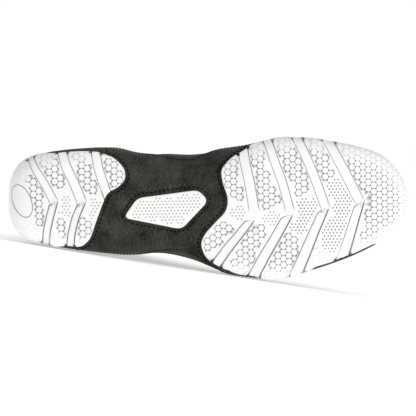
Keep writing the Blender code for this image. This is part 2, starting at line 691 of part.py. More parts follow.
def eyelet_seats():
    """Each eyelet pair's ring place, distance across and flange height, from the vamp to the collar."""
    facing = closed_sock("facing", GAP + EYESTAY_THICKNESS)
    tree = BVHTree.FromPolygons(
        [v.co.copy() for v in facing.data.vertices], [tuple(p.vertices) for p in facing.data.polygons]
    )
    bpy.data.objects.remove(facing)
    seats = []
    for place in front_places(EYELET_PAIRS, THROAT_RING + 0.45, COLLAR_RING - 0.6):
        across = spline(RINGS, np.array([place]))[0][-1] + EYELET_FROM_THROAT
        heights = [facing_height(tree, *front_point(place, side * across, 0.0)) for side in (1, -1)]
        seats.append((place, across, max(heights) + GAP))
    return seats


def turned(name, centre, normal, profile, segments):
    """A solid of revolution about a normal: profile is (radius, height) points of a closed outline."""
    axis = Vector(normal).to_track_quat("Z", "Y").to_matrix()
    points = []
    for k in range(segments):
        angle = 2 * math.pi * k / segments
        for radius, height in profile:
            local = Vector((radius * math.cos(angle), radius * math.sin(angle), height))
            points.append(Vector(centre) + axis @ local)
    size = len(profile)
    faces = [
        (k * size + p, k * size + (p + 1) % size,
         (k + 1) % segments * size + (p + 1) % size, (k + 1) % segments * size + p)
        for k in range(segments) for p in range(size)
    ]
    return new_object(name, points, faces)


def punch(target, seats):
    """Cuts the eyelet holes through a shell."""
    for number, (place, across, _) in enumerate(seats):
        for side in (1, -1):
            centre, normal = front_point(place, side * across, 0.0)
            axis = Vector(normal).to_track_quat("Z", "Y").to_matrix()
            ring = [
                (EYELET_HOLE_RADIUS * math.cos(a), EYELET_HOLE_RADIUS * math.sin(a))
                for a in (2 * math.pi * k / HOLE_SIDES for k in range(HOLE_SIDES))
            ]
            cutter = prism(f"hole_{number}", ring, -EYELET_RADIUS * 2, EYELET_RADIUS * 2)
            cutter.data.transform(Matrix.Translation(Vector(centre)) @ axis.to_4x4())
            boolean(target, cutter, "DIFFERENCE")
    return tidy(target)


def eyelets(look, seats):
    """The flanged rings round the lace holes, seated on the facing."""
    made = []
    inner = EYELET_HOLE_RADIUS * 0.8
    for number, (place, across, base) in enumerate(seats, start=1):
        top = base + EYELET_HEIGHT
        profile = ((inner, base), (EYELET_RADIUS, base), (EYELET_RADIUS * 0.82, top), (inner, top))
        for side, word in ((1, "lateral"), (-1, "medial")):
            centre, normal = front_point(place, side * across, 0.0)
            ring = turned(f"eyelet_{word}_{number}", centre, normal, profile, EYELET_SIDES)
            ring.data.materials.append(look)
            made.append(ring)
    return made


def lace_bar(name, start, end, raised=0.0):
    """One run of the lace over the throat, from one eyelet to another."""
    (place_a, across_a, base_a), (place_b, across_b, base_b) = start, end
    middle, normals = [], []
    for share in np.linspace(0, 1, LACE_STEPS):
        place = place_a + (place_b - place_a) * share
        across = across_a + (across_b - across_a) * share
        base = base_a + (base_b - base_a) * share
        lift = base + EYELET_HEIGHT + LACE_CLEARANCE + raised
        point, normal = front_point(place, across, lift)
        middle.append(point)
        normals.append(normal)
    middle, normals = np.array(middle), np.array(normals)
    tangents = np.gradient(middle, axis=0)
    tangents /= np.linalg.norm(tangents, axis=1)[:, None]
    middle[0] -= tangents[0] * LACE_WIDTH * 0.45
    middle[-1] += tangents[-1] * LACE_WIDTH * 0.45
    sides = np.cross(normals, tangents)
    sides /= np.linalg.norm(sides, axis=1)[:, None]
    ups = np.cross(tangents, sides)
    half = LACE_WIDTH / 2
    rows = [
        (m - s * half, m + s * half, m + s * half * 0.8 + u * LACE_THICKNESS, m - s * half * 0.8 + u * LACE_THICKNESS)
        for m, s, u in zip(middle, sides, ups)
    ]
    points = [p for row in rows for p in row]
    faces = [
        (r * 4 + c, (r + 1) * 4 + c, (r + 1) * 4 + (c + 1) % 4, r * 4 + (c + 1) % 4)
        for r in range(len(rows) - 1) for c in range(4)
    ]
    faces += [(0, 1, 2, 3), tuple(len(points) - 4 + k for k in range(4))]
    return new_object(name, points, faces)


def lace(look, seats):
    """The lace: a straight bar at the vamp and crossings up to the top eyelets, joined into one."""
    place, across, base = seats[0]
    made = lace_bar("lace", (place, across, base), (place, -across, base))
    for (place_a, across_a, base_a), (place_b, across_b, base_b) in zip(seats, seats[1:]):
        for side, raised in ((1, LACE_THICKNESS / 4), (-1, LACE_THICKNESS / 2)):
            start, end = (place_a, side * across_a, base_a), (place_b, -side * across_b, base_b)
            boolean(made, lace_bar("bar", start, end, raised), "UNION")
    made.data.materials.clear()
    made.data.materials.append(look)
    return tidy(made)


def centre_of(parts):
    """Centre of volume of all the solids together."""
    total, moment = 0.0, Vector((0, 0, 0))
    for part in parts:
        shape = bmesh.new()
        shape.from_mesh(part.data)
        bmesh.ops.triangulate(shape, faces=shape.faces)
        for face in shape.faces:
            a, b, c = (v.co for v in face.verts)
            volume = a.dot(b.cross(c)) / 6
            total += volume
            moment += (a + b + c) / 4 * volume
        shape.free()
    return moment / total


def resting_turn(parts):
    """The turn that lays the shoe on its lateral side, as its hull rests on a floor."""
    centre = centre_of(parts)
    hull = bmesh.new()
    for part in parts:
        for vertex in part.data.vertices:
            hull.verts.new(vertex.co)
    bmesh.ops.convex_hull(hull, input=hull.verts, use_existing_faces=False)
    best, best_side = None, 0.5
    for face in hull.faces:
        face.normal_update()
        normal = face.normal
        foot = centre - normal * (centre - face.verts[0].co).dot(normal)
        corners = [v.co for v in face.verts]
        inside = all(
            (b - a).cross(foot - a).dot(normal) >= -1e-9 for a, b in zip(corners, corners[1:] + corners[:1])
        )
        if inside and normal.y > best_side:
            best, best_side = normal.copy(), normal.y
    hull.free()
    down = best
    ahead = (Vector((1, 0, 0)) - down * down.x).normalized()
    return Matrix((ahead, ahead.cross(down), -down))


def lay_down(parts):
    """Parents every part to an empty that lays the shoe on its side, centred over the origin."""
    turn = resting_turn(parts)
    points = np.array([turn @ v.co for part in parts for v in part.data.vertices])
    low, high = points.min(axis=0), points.max(axis=0)
    pose = bpy.data.objects.new("lying_pose", None)
    bpy.context.scene.collection.objects.link(pose)
    pose.rotation_mode = "QUATERNION"
    pose.rotation_quaternion = turn.to_quaternion()
    pose.location = (-(low[0] + high[0]) / 2, -(low[1] + high[1]) / 2, -low[2])
    for part in parts:
        part.parent = pose


def main():
    for old in list(bpy.data.objects):
        bpy.data.objects.remove(old)
    mesh_cloth = material("black_mesh", BLACK_MESH, 0.9)
    suede = material("black_suede", BLACK_SUEDE, 0.95)
    rubber = material("white_rubber", WHITE_RUBBER, 0.45)
    lining = material("dark_lining", LINING, 0.9)
    enamel = material("black_enamel", BLACK_ENAMEL, 0.4)
    cord = material("black_lace", LACE_BLACK, 0.85)

    upper = shell("upper", GRID, offset_grid(-UPPER_WALL), throat_cells())
    upper.data.materials.append(mesh_cloth)
    eyestay = shell("eyestay", offset_grid(GAP + EYESTAY_THICKNESS), offset_grid(GAP), eyestay_cells())
    eyestay.data.materials.append(suede)
    seats = eyelet_seats()
    for sheet in (upper, eyestay):
        punch(sheet, seats)

    parts = [
        upper,
        eyestay,
        suede_wrap(suede),
        sole_pad("outsole_heel", heel_outline(), HEEL_PAD_TOP, rubber),
        sole_pad("outsole_forefoot", forefoot_outline(), FOREFOOT_PAD_TOP, rubber),
        arch_pad(rubber),
        insole(lining),
        tongue(mesh_cloth),
        lace(cord, seats),
    ]
    parts += eyelets(enamel, seats)
    lay_down(parts)


main()
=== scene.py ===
"""The looks of a left wrestling shoe that lies on its lateral side.

Every piece is worked out on the standing shoe, as in the part's source: the heel at x = 0, the
toe along +X, the lateral side along +Y and the ground at z = 0. The last is sampled once as a
fine table. Each piece is a sheet between two offsets of it, cut along lines of equal distance,
and lay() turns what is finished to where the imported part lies.
"""

import json
import math

import bmesh
import bpy
import numpy as np
from mathutils import Matrix, Vector
from mathutils.bvhtree import BVHTree
from mathutils.geometry import delaunay_2d_cdt
from mathutils.kdtree import KDTree


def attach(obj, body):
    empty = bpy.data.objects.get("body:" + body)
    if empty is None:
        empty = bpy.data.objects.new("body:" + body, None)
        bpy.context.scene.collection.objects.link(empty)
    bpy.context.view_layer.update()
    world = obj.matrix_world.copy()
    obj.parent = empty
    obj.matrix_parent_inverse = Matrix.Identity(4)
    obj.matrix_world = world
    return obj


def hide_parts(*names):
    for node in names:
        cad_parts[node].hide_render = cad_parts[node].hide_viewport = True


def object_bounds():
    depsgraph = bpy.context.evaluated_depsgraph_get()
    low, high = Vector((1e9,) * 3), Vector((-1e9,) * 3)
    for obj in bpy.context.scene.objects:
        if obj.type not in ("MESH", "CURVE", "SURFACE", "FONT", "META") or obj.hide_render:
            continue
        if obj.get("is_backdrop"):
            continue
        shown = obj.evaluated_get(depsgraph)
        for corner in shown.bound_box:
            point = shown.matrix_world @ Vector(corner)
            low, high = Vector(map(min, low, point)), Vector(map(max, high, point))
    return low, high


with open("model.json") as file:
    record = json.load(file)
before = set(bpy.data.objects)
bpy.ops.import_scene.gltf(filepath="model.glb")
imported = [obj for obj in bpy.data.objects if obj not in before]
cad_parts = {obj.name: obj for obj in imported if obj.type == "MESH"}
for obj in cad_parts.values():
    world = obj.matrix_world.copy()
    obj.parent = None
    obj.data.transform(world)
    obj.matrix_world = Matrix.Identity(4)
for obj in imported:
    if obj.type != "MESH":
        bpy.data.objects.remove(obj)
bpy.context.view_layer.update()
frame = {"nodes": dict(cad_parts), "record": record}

# Sizes of the part, in metres
SHOE_LENGTH = 0.281
BALL_WIDTH = 0.1006
HEEL_WIDTH = 0.0745
INSTEP_HEIGHT = 0.070
COLLAR_HEIGHT = 0.156

UPPER_WALL = 0.0020
SUEDE_THICKNESS = 0.0012
EYESTAY_THICKNESS = 0.0012
INSOLE_THICKNESS = 0.0030
TONGUE_THICKNESS = 0.0030
TONGUE_RISE = 0.010
TONGUE_CLEARANCE = 0.0004

TREAD_THICKNESS = 0.0042
SIDE_THICKNESS = 0.0022
ARCH_PAD_THICKNESS = 0.0022
ARCH_RISE = 0.0050
TOE_SPRING = 0.0110
TOE_SPRING_START = 0.205
MEDIAL_GROOVE_DEPTH = 0.0012
LATERAL_GROOVE_DEPTH = 0.0018

HEEL_WRAP_HEIGHT = 0.017
SIDE_WRAP_HEIGHT = 0.009
TOE_WRAP_HEIGHT = 0.0190

THROAT_HALF_WIDTH = 0.0115
EYELET_PAIRS = 8
EYELET_FROM_THROAT = 0.0075
EYELET_HOLE_RADIUS = 0.0021
EYELET_RADIUS = 0.0036
LACE_WIDTH = 0.0060
LACE_THICKNESS = 0.0012

GAP = 0.0003
SEAT = TREAD_THICKNESS
GROUND_TRIM = 0.0004

# The last's rings, in the shares that the part's source gives them
COLUMNS = (
    "back_x", "back_z", "front_x", "front_z", "lateral", "medial",
    "belly", "low", "top", "arch", "throat",
)
FOOT_RINGS = (
    (0.9915, 0.232, 0.9915, 0.238, 0.003, 0.003, 0.50, 2.2, 2.0, 0.0, 0.02),
    (0.9890, 0.190, 0.9890, 0.300, 0.072, 0.070, 0.48, 2.3, 2.0, 0.0, 0.10),
    (0.9808, 0.153, 0.9808, 0.360, 0.138, 0.136, 0.46, 2.6, 2.0, 0.0, 0.16),
    (0.9630, 0.120, 0.9630, 0.425, 0.210, 0.216, 0.42, 3.0, 2.1, 0.0, 0.20),
    (0.9340, 0.088, 0.9340, 0.495, 0.272, 0.290, 0.39, 3.5, 2.1, 0.0, 0.25),
    (0.8897, 0.055, 0.8897, 0.570, 0.340, 0.342, 0.36, 4.0, 2.1, 0.0, 0.28),
    (0.8327, 0.023, 0.8327, 0.650, 0.408, 0.378, 0.33, 4.6, 2.1, 0.0, 0.30),
    (0.7616, 0.003, 0.7616, 0.740, 0.474, 0.412, 0.30, 5.0, 2.1, 0.0, 0.35),
    (0.6762, 0.000, 0.6762, 0.860, 0.537, 0.418, 0.27, 5.0, 2.1, 0.0, 0.80),
    (0.5979, 0.012, 0.5979, 0.985, 0.523, 0.373, 0.26, 4.6, 2.2, 0.3, 1.00),
    (0.5267, 0.040, 0.5360, 1.100, 0.490, 0.345, 0.26, 4.2, 2.3, 0.8, 1.00),
)
SHAFT_RINGS = (
    (0.4555, 0.026, 0.4875, 0.545, 0.566, 0.434, 0.25, 4.0, 2.4, 1.0, 1.00),
    (0.3843, 0.024, 0.4484, 0.603, 0.508, 0.440, 0.22, 4.2, 2.5, 1.0, 1.00),
    (0.3132, 0.012, 0.4164, 0.663, 0.502, 0.430, 0.20, 4.6, 2.6, 0.7, 1.02),
    (0.2349, 0.001, 0.3932, 0.724, 0.486, 0.478, 0.18, 5.0, 2.6, 0.2, 1.04),
    (0.1566, 0.000, 0.3772, 0.779, 0.454, 0.470, 0.17, 5.0, 2.6, 0.0, 1.06),
    (0.0880, 0.000, 0.3665, 0.827, 0.420, 0.448, 0.18, 4.2, 2.6, 0.0, 1.08),
    (0.0380, 0.015, 0.3594, 0.869, 0.386, 0.424, 0.22, 3.5, 2.5, 0.0, 1.10),
    (0.0130, 0.061, 0.3541, 0.901, 0.392, 0.428, 0.30, 3.0, 2.5, 0.0, 1.12),
    (0.0060, 0.141, 0.3505, 0.926, 0.405, 0.434, 0.38, 2.6, 2.4, 0.0, 1.14),
    (0.0110, 0.269, 0.3480, 0.949, 0.418, 0.434, 0.44, 2.2, 2.4, 0.0, 1.16),
    (0.0265, 0.410, 0.3459, 0.965, 0.426, 0.434, 0.47, 2.2, 2.3, 0.0, 1.18),
    (0.0400, 0.564, 0.3438, 0.978, 0.424, 0.428, 0.49, 2.2, 2.3, 0.0, 1.20),
    (0.0445, 0.718, 0.3423, 0.987, 0.424, 0.426, 0.50, 2.2, 2.3, 0.0, 1.22),
    (0.0391, 0.859, 0.3409, 0.994, 0.432, 0.434, 0.50, 2.2, 2.3, 0.0, 1.24),
    (0.0320, 0.936, 0.3398, 1.000, 0.440, 0.442, 0.50, 2.2, 2.3, 0.0, 1.25),
    (0.0250, 1.006, 0.3370, 1.075, 0.448, 0.450, 0.50, 2.2, 2.3, 0.0, 1.26),
)
COLLAR_RING = len(FOOT_RINGS) + len(SHAFT_RINGS) - 2
THROAT_RING = 7.5

# Plan points of the sole, as percents of SHOE_LENGTH from the heel and to the lateral side, of
# HEEL_WIDTH for the heel's and of BALL_WIDTH for the others
HEEL_PAD_FRONT = (
    (23.4, -51.3), (24.2, -44.0), (26.6, -39.8), (29.0, -30.2), (29.3, -19.6), (27.6, -12.2),
    (25.1, -6.1), (23.7, 4.7), (22.1, 21.1), (20.6, 36.5), (18.6, 44.0), (16.6, 47.9),
)
FOREFOOT_PAD_REAR = (
    (60.6, -41.0), (59.3, -36.2), (55.7, -29.5), (53.4, -21.5), (53.6, -12.5), (54.8, -1.5),
    (54.3, 7.6), (51.8, 15.5), (49.2, 24.0), (48.3, 31.5), (49.4, 39.9), (52.0, 46.4), (54.6, 52.5),
)
ARCH_PAD = ((29.0, 12.5), (32.4, -1.4), (47.6, -7.2), (50.0, 0.6), (43.4, 20.6))
ARCH_PAD_CORNER = 0.0045

# Flex grooves: pad, side, widths in metres at the inner and the outer end, and middle line in the
# same percents
GROOVES = (
    ("heel", "medial", (0.0068, 0.0056), ((5.0, -45.9), (6.8, -30.4), (9.3, -14.9), (11.5, 0.7))),
    ("heel", "lateral", (0.0062, 0.0062), ((11.6, 2.7), (10.65, 16.2), (9.75, 32.4), (9.35, 51.3))),
    ("heel", "medial", (0.0076, 0.0076), ((13.3, -51.3), (14.6, -32.4), (16.6, -16.2), (18.5, 1.4))),
    ("heel", "lateral", (0.0057, 0.0063), ((18.6, 3.0), (17.1, 16.2), (16.05, 32.4), (15.45, 51.3))),
    ("heel", "medial", (0.0072, 0.0073), ((21.8, -51.3), (22.6, -32.4), (24.0, -14.9), (25.8, 2.7))),
    ("forefoot", "medial", (0.0080, 0.0078), ((58.2, -44.0), (59.2, -26.0), (60.3, -12.0), (61.4, 6.5))),
    ("forefoot", "lateral", (0.0062, 0.0082), ((60.4, 14.5), (57.3, 25.5), (54.3, 36.0), (50.9, 50.0))),
    ("forefoot", "medial", (0.0070, 0.0070), ((63.9, -50.0), (66.4, -28.0), (68.5, -12.0), (70.3, 6.5))),
    ("forefoot", "lateral", (0.0071, 0.0087), ((69.8, 11.0), (66.8, 26.0), (63.9, 40.0), (60.2, 60.0))),
    ("forefoot", "medial", (0.0073, 0.0074), ((70.8, -52.0), (74.7, -28.0), (77.3, -10.0), (79.2, 5.0))),
    ("forefoot", "lateral", (0.0067, 0.0096), ((78.9, 6.5), (76.3, 23.0), (73.8, 40.0), (71.0, 60.0))),
    ("forefoot", "medial", (0.0078, 0.0078), ((78.5, -50.0), (82.1, -30.0), (85.1, -14.0), (87.7, 0.5))),
    ("forefoot", "lateral", (0.0066, 0.0094), ((87.9, 2.0), (86.1, 18.0), (84.4, 34.0), (82.3, 52.0))),
)

# The pads' upper edges: share of SHOE_LENGTH, which wrap height, and share of it
HEEL_PAD_TOP = (
    (-0.05, "heel", 1.0), (0.03, "heel", 0.94), (0.10, "side", 1.15), (0.20, "side", 0.95),
    (0.35, "side", 0.85),
)
FOREFOOT_PAD_TOP = (
    (0.40, "side", 0.85), (0.60, "side", 1.0), (0.76, "side", 1.25), (0.86, "toe", 0.72),
    (0.93, "toe", 0.88), (0.98, "toe", 0.98), (1.05, "toe", 1.0),
)

# The suede's upper edge above the seat, in shares of SHOE_LENGTH and INSTEP_HEIGHT
SUEDE_EDGE = (
    ("x", "lateral", "medial"),
    (-0.05, 0.66, 0.66),
    (0.06, 0.64, 0.64),
    (0.14, 0.54, 0.56),
    (0.21, 0.40, 0.46),
    (0.28, 0.23, 0.33),
    (0.34, 0.162, 0.21),
    (0.40, 0.138, 0.18),
    (0.44, 0.134, 0.175),
    (0.48, 0.142, 0.18),
    (0.52, 0.175, 0.23),
    (0.57, 0.24, 0.31),
    (0.66, 0.31, 0.33),
    (0.76, 0.34, 0.34),
    (0.86, 0.39, 0.39),
    (0.95, 0.45, 0.45),
    (1.05, 0.47, 0.47),
)

# How finely the last is sampled, and how much of that table a plain sheet uses
FINE_STEP = 0.0011
SIDE_CELLS = 110
SHEET_ROWS = 2
SHEET_COLUMNS = 2


# The last, as the part's source works it out

def spline(points, places):
    """Smooth curve through the rows of points, read at places counted in rows."""
    points = np.asarray(points, float)
    last = len(points) - 1
    row = np.clip(np.floor(places).astype(int), 0, last - 1)
    t = (np.asarray(places, float) - row)[:, None]
    before, start = points[np.maximum(row - 1, 0)], points[row]
    end, after = points[row + 1], points[np.minimum(row + 2, last)]
    slope_in, slope_out = (end - before) / 2, (after - start) / 2
    return (
        start * (2 * t**3 - 3 * t**2 + 1)
        + slope_in * (t**3 - 2 * t**2 + t)
        + end * (3 * t**2 - 2 * t**3)
        + slope_out * (t**3 - t**2)
    )


def smooth_line(points, steps):
    """The smooth curve through a few points, with steps pieces between each two."""
    return spline(points, np.linspace(0, len(points) - 1, (len(points) - 1) * steps + 1))


def ring_table():
    """The rings' rows with every length in metres, the seat at z = 0."""
    rows = []
    for table, height, width in (
        (FOOT_RINGS, INSTEP_HEIGHT, BALL_WIDTH),
        (SHAFT_RINGS, COLLAR_HEIGHT, HEEL_WIDTH),
    ):
        for ring in table:
            r = dict(zip(COLUMNS, ring))
            rows.append((
                r["back_x"] * SHOE_LENGTH, r["back_z"] * height,
                r["front_x"] * SHOE_LENGTH, r["front_z"] * height,
                r["lateral"] * width, r["medial"] * width,
                r["belly"], r["low"], r["top"],
                r["arch"] * ARCH_RISE, r["throat"] * THROAT_HALF_WIDTH,
            ))
    return np.array(rows)


RINGS = ring_table()
DENSE = np.linspace(0, math.pi / 2, 97)


def ring_side(row, side):
    """One side of a ring, dense, from its back point up to its front point.

    Returns the points and the number of the widest one. side is 1 for lateral, -1 for medial.
    """
    back_x, back_z, front_x, front_z, lateral, medial, belly, low, top, arch, _ = row
    width = lateral if side > 0 else medial
    length = math.hypot(front_x - back_x, front_z - back_z)
    along = np.array([front_x - back_x, 0, front_z - back_z]) / max(length, 1e-9)
    low_length, top_length = belly * length, (1 - belly) * length
    across_low = width * np.sin(DENSE) ** (2 / low)
    up_low = low_length * (1 - np.cos(DENSE) ** (2 / low))
    across_top = width * np.cos(DENSE[1:]) ** (2 / top)
    up_top = low_length + top_length * np.sin(DENSE[1:]) ** (2 / top)
    if side < 0:
        up_low = up_low + arch * (across_low / width) ** 2 * (1 - up_low / low_length)
    across = np.concatenate([across_low, across_top])
    up = np.concatenate([up_low, up_top])
    points = np.array([back_x, 0, back_z + SEAT]) + up[:, None] * along
    points[:, 1] = side * across
    return points, len(DENSE) - 1


def unit(vectors):
    """Rows of vectors, each brought to length 1."""
    return vectors / np.linalg.norm(vectors, axis=1)[:, None]


def left_of(line):
    """Unit vectors to the left of a plan or chart line, at its points."""
    tangents = unit(np.gradient(line, axis=0))
    return np.stack([-tangents[:, 1], tangents[:, 0]], axis=1)


def lengths_along(points):
    """Distance along a polyline at each of its points."""
    return np.concatenate([[0], np.cumsum(np.linalg.norm(np.diff(points, axis=0), axis=1))])


def at_distance(points, distances, where):
    """Points of a polyline at the given distances along it."""
    return np.stack([np.interp(where, distances, column) for column in points.T], axis=1)


def fine_places():
    """Places in the ring table about FINE_STEP apart, from the toe to the tongue's end."""
    places = [0.0]
    for ring in range(len(RINGS) - 1):
        gap = RINGS[ring + 1, :4] - RINGS[ring, :4]
        reach = max(math.hypot(gap[0], gap[1]), math.hypot(gap[2], gap[3]))
        pieces = math.ceil(reach / FINE_STEP)
        places += [ring + (k + 1) / pieces for k in range(pieces)]
    return np.array(places)


def fine_last():
    """The last as a table of points, with each row's two side lengths and distances to the widest point.

    Columns run from the back point up the lateral side to the front point, and down the medial side.
    """
    table, lengths, widest = [], [], []
    for row in spline(RINGS, PLACES):
        halves = []
        for side in (1, -1):
            points, wide = ring_side(row, side)
            distances = lengths_along(points)
            halves.append(at_distance(points, distances, np.linspace(0, distances[-1], SIDE_CELLS + 1)))
            lengths.append(distances[-1])
            widest.append(distances[wide])
        table.append(np.concatenate([halves[0], halves[1][-2:0:-1]]))
    return np.array(table), np.reshape(lengths, (-1, 2)), np.reshape(widest, (-1, 2))


def grid_normals(grid):
    """Outward unit normals at the grid's points."""
    along = np.gradient(grid, axis=0)
    around = np.roll(grid, -1, axis=1) - np.roll(grid, 1, axis=1)
    normals = np.cross(along, around)
    lengths = np.linalg.norm(normals, axis=2, keepdims=True)
    normals = normals / np.maximum(lengths, 1e-12)
    normals[0] = (1, 0, 0)
    return normals


def smooth_step(low, high, value):
    """0 below low, 1 above high and smooth between."""
    t = np.clip((np.asarray(value, float) - low) / (high - low), 0, 1)
    return t * t * (3 - 2 * t)


def ground(x):
    """Height of the tread's underside along the shoe: flat, then the toe spring."""
    start = TOE_SPRING_START
    share = np.clip((np.asarray(x, float) - start) / (SHOE_LENGTH - start), 0, None)
    return TOE_SPRING * share**2


# Creases of the soft upper: how far they reach to each side, how deep they are,
# and points as ring places and shares of the way from the front line, positive on the lateral side
CREASES = (
    (0.0050, -0.0009, ((10.2, 0.42), (10.9, 0.52), (11.8, 0.60))),
    (0.0045, 0.0006, ((10.9, 0.38), (11.6, 0.48), (12.5, 0.55))),
    (0.0050, -0.0008, ((11.6, 0.36), (12.4, 0.44), (13.4, 0.50))),
    (0.0050, -0.0009, ((10.1, -0.42), (10.8, -0.53), (11.7, -0.62))),
    (0.0045, 0.0006, ((10.8, -0.38), (11.5, -0.48), (12.4, -0.56))),
    (0.0050, -0.0008, ((11.5, -0.36), (12.3, -0.45), (13.3, -0.52))),
    (0.0048, -0.0007, ((15.5, 0.34), (15.9, 0.52), (16.4, 0.70))),
    (0.0048, -0.0006, ((17.4, -0.34), (17.6, -0.50), (18.2, -0.66))),
    (0.0055, -0.0007, ((6.9, 0.34), (6.45, 0.12), (6.4, -0.10), (6.8, -0.32))),
    (0.0045, 0.0005, ((6.4, 0.38), (5.95, 0.14), (5.9, -0.12), (6.3, -0.36))),
    (0.0055, -0.0006, ((5.8, 0.30), (5.45, 0.12), (5.4, -0.10), (5.7, -0.30))),
    (0.0030, -0.0007, ((8.6, 0.80), (9.6, 0.76), (10.6, 0.78))),
    (0.0026, 0.0006, ((8.9, 0.74), (9.8, 0.70), (10.5, 0.71))),
    (0.0028, -0.0006, ((9.2, 0.69), (10.0, 0.65), (10.9, 0.67))),
)


def creased(last, normals):
    """The last with the creases of its soft upper pressed in."""
    shift = np.zeros(last.shape[:2])
    for reach, depth, points in CREASES:
        line = smooth_line(points, 8)
        rows = np.interp(line[:, 0], PLACES, np.arange(len(PLACES)))
        columns = SIDE_CELLS * (1 - line[:, 1])
        spots = last[np.round(rows).astype(int), np.round(columns).astype(int) % last.shape[1]]
        away = np.linalg.norm(last[:, :, None, :] - spots, axis=3)
        near = away.argmin(axis=2)
        ends = np.sin(np.pi * np.clip((near + 0.5) / len(spots), 0, 1)) ** 0.7
        shift += depth * np.exp(-((away.min(axis=2) / reach) ** 2)) * ends
    return last + normals * shift[..., None]


PLACES = fine_places()
LAST, SIDE_LENGTHS, WIDEST = fine_last()
LAST = creased(LAST, grid_normals(LAST))
NORMALS = grid_normals(LAST)
ROW_COUNT, COLUMN_COUNT = LAST.shape[:2]
ROWS = np.arange(ROW_COUNT)
THROATS = spline(RINGS, PLACES)[:, -1]
FRONT_ALONG = lengths_along(LAST[:, SIDE_CELLS])


def row_at(place):
    """Fractional row of the last's table at a ring place."""
    return np.interp(place, PLACES, ROWS)


def row_near(place):
    """Row of the last's table nearest to a ring place."""
    return int(np.argmin(abs(PLACES - place)))


def throat_at(place):
    """Half width of the throat at a ring place."""
    return np.interp(place, PLACES, THROATS)


def side_length(rows, side):
    """Length of one side of the rings at fractional rows. side is 1 for lateral, -1 for medial."""
    return np.interp(rows, ROWS, SIDE_LENGTHS[:, 0 if side > 0 else 1])


def front_distance(start, end):
    """Distance along the front line from one ring place to another."""
    return np.interp(row_at(end), ROWS, FRONT_ALONG) - np.interp(row_at(start), ROWS, FRONT_ALONG)


SHAFT_TOP = row_near(COLLAR_RING)


def tread_surface():
    """The outer face of the sole before its relief, flat where it meets the ground."""
    down = np.clip(-NORMALS[..., 2], 0, 1) ** 1.5
    offset = GAP + SIDE_THICKNESS + (TREAD_THICKNESS + GROUND_TRIM - SIDE_THICKNESS) * down
    points = LAST + NORMALS * offset[..., None]
    points[..., 2] = np.maximum(points[..., 2], ground(points[..., 0]))
    return points


TREAD = tread_surface()

# The sole's chart: x follows the line under the middle of the foot, t is the distance from it
# round the ring, positive on the lateral side

MIDDLE_X = 0.15


def chart_lines():
    """The chart's x at each row of the last."""
    along = lengths_along(LAST[:, 0])
    middle = int(np.argmin(abs(LAST[: ROW_COUNT // 2, 0, 0] - MIDDLE_X)))
    return LAST[middle, 0, 0] - (along - along[middle])


CHART_X = chart_lines()


def chart_table():
    """The chart's x and t, and the signed distance v from the front line, at each point of the last."""
    share = np.arange(COLUMN_COUNT) / SIDE_CELLS
    lateral = share <= 1
    t = np.where(lateral, share * SIDE_LENGTHS[:, :1], (share - 2) * SIDE_LENGTHS[:, 1:])
    v = np.where(lateral, (1 - share) * SIDE_LENGTHS[:, :1], (1 - share) * SIDE_LENGTHS[:, 1:])
    x = np.broadcast_to(CHART_X[:, None], t.shape)
    return x, t, v


CHART = chart_table()


def sample(grid, rows, columns):
    """Values of a table over the last at fractional rows and columns."""
    r = np.clip(np.floor(rows).astype(int), 0, ROW_COUNT - 2)
    c = np.floor(columns).astype(int)
    fr, fc = (rows - r)[:, None], (columns - c)[:, None]
    c0, c1 = c % COLUMN_COUNT, (c + 1) % COLUMN_COUNT
    near = grid[r, c0] * (1 - fc) + grid[r, c1] * fc
    far = grid[r + 1, c0] * (1 - fc) + grid[r + 1, c1] * fc
    return near * (1 - fr) + far * fr


def grid_places(chart):
    """Fractional rows and columns of chart points."""
    rows = np.interp(-chart[:, 0], -CHART_X, ROWS)
    t = chart[:, 1]
    length = np.where(t >= 0, side_length(rows, 1), side_length(rows, -1))
    share = np.clip(abs(t) / length, 0, 1) * SIDE_CELLS
    return rows, np.where(t >= 0, share, 2 * SIDE_CELLS - share)


def on_surface(grid, chart):
    """Values of a table over the last at chart points."""
    return sample(grid, *grid_places(np.asarray(chart, float)))


UNDERSIDE = -0.15


class PlanMap:
    """Turns plan points into chart points, and runs on up the sole's side past its outline."""

    def __init__(self):
        reach = SIDE_CELLS // 2
        columns = list(range(-reach, reach + 1, 2))
        low = (NORMALS[:, 0, 2] < UNDERSIDE) & (LAST[:, 0, 2] < HEEL_WRAP_HEIGHT * 2)
        rows = [r for r in range(4, ROW_COUNT, 2) if low[r]]
        index, self.plan, self.chart = {}, [], []
        for r in rows:
            for c in columns:
                if NORMALS[r, c, 2] < UNDERSIDE:
                    index[r, c] = len(self.plan)
                    self.plan.append(TREAD[r, c, :2])
                    self.chart.append((CHART[0][r, c], CHART[1][r, c]))
        self.plan, self.chart = np.array(self.plan), np.array(self.chart)
        self.triangles = []
        for r, next_r in zip(rows, rows[1:]):
            for c, next_c in zip(columns, columns[1:]):
                corners = [index.get(k) for k in ((r, c), (next_r, c), (next_r, next_c), (r, next_c))]
                for ring in ((0, 1, 2), (0, 2, 3)):
                    chosen = [corners[k] for k in ring]
                    if None not in chosen:
                        self.triangles.append(chosen)
        flat = [Vector((x, y, 0)) for x, y in self.plan]
        self.tree = BVHTree.FromPolygons(flat, self.triangles)

    def __call__(self, points):
        """Chart points of plan points."""
        found = []
        for x, y in np.asarray(points, float):
            place, _, number, _ = self.tree.find_nearest(Vector((x, y, 0)))
            a, b, c = (self.plan[k] for k in self.triangles[number])
            shares = np.linalg.solve(np.column_stack([b - a, c - a]), np.array(place[:2]) - a)
            p, q, r = (self.chart[k] for k in self.triangles[number])
            inside = p + (q - p) * shares[0] + (r - p) * shares[1]
            found.append(inside + np.array((x, y)) - np.array(place[:2]))
        return np.array(found)


to_chart = PlanMap()


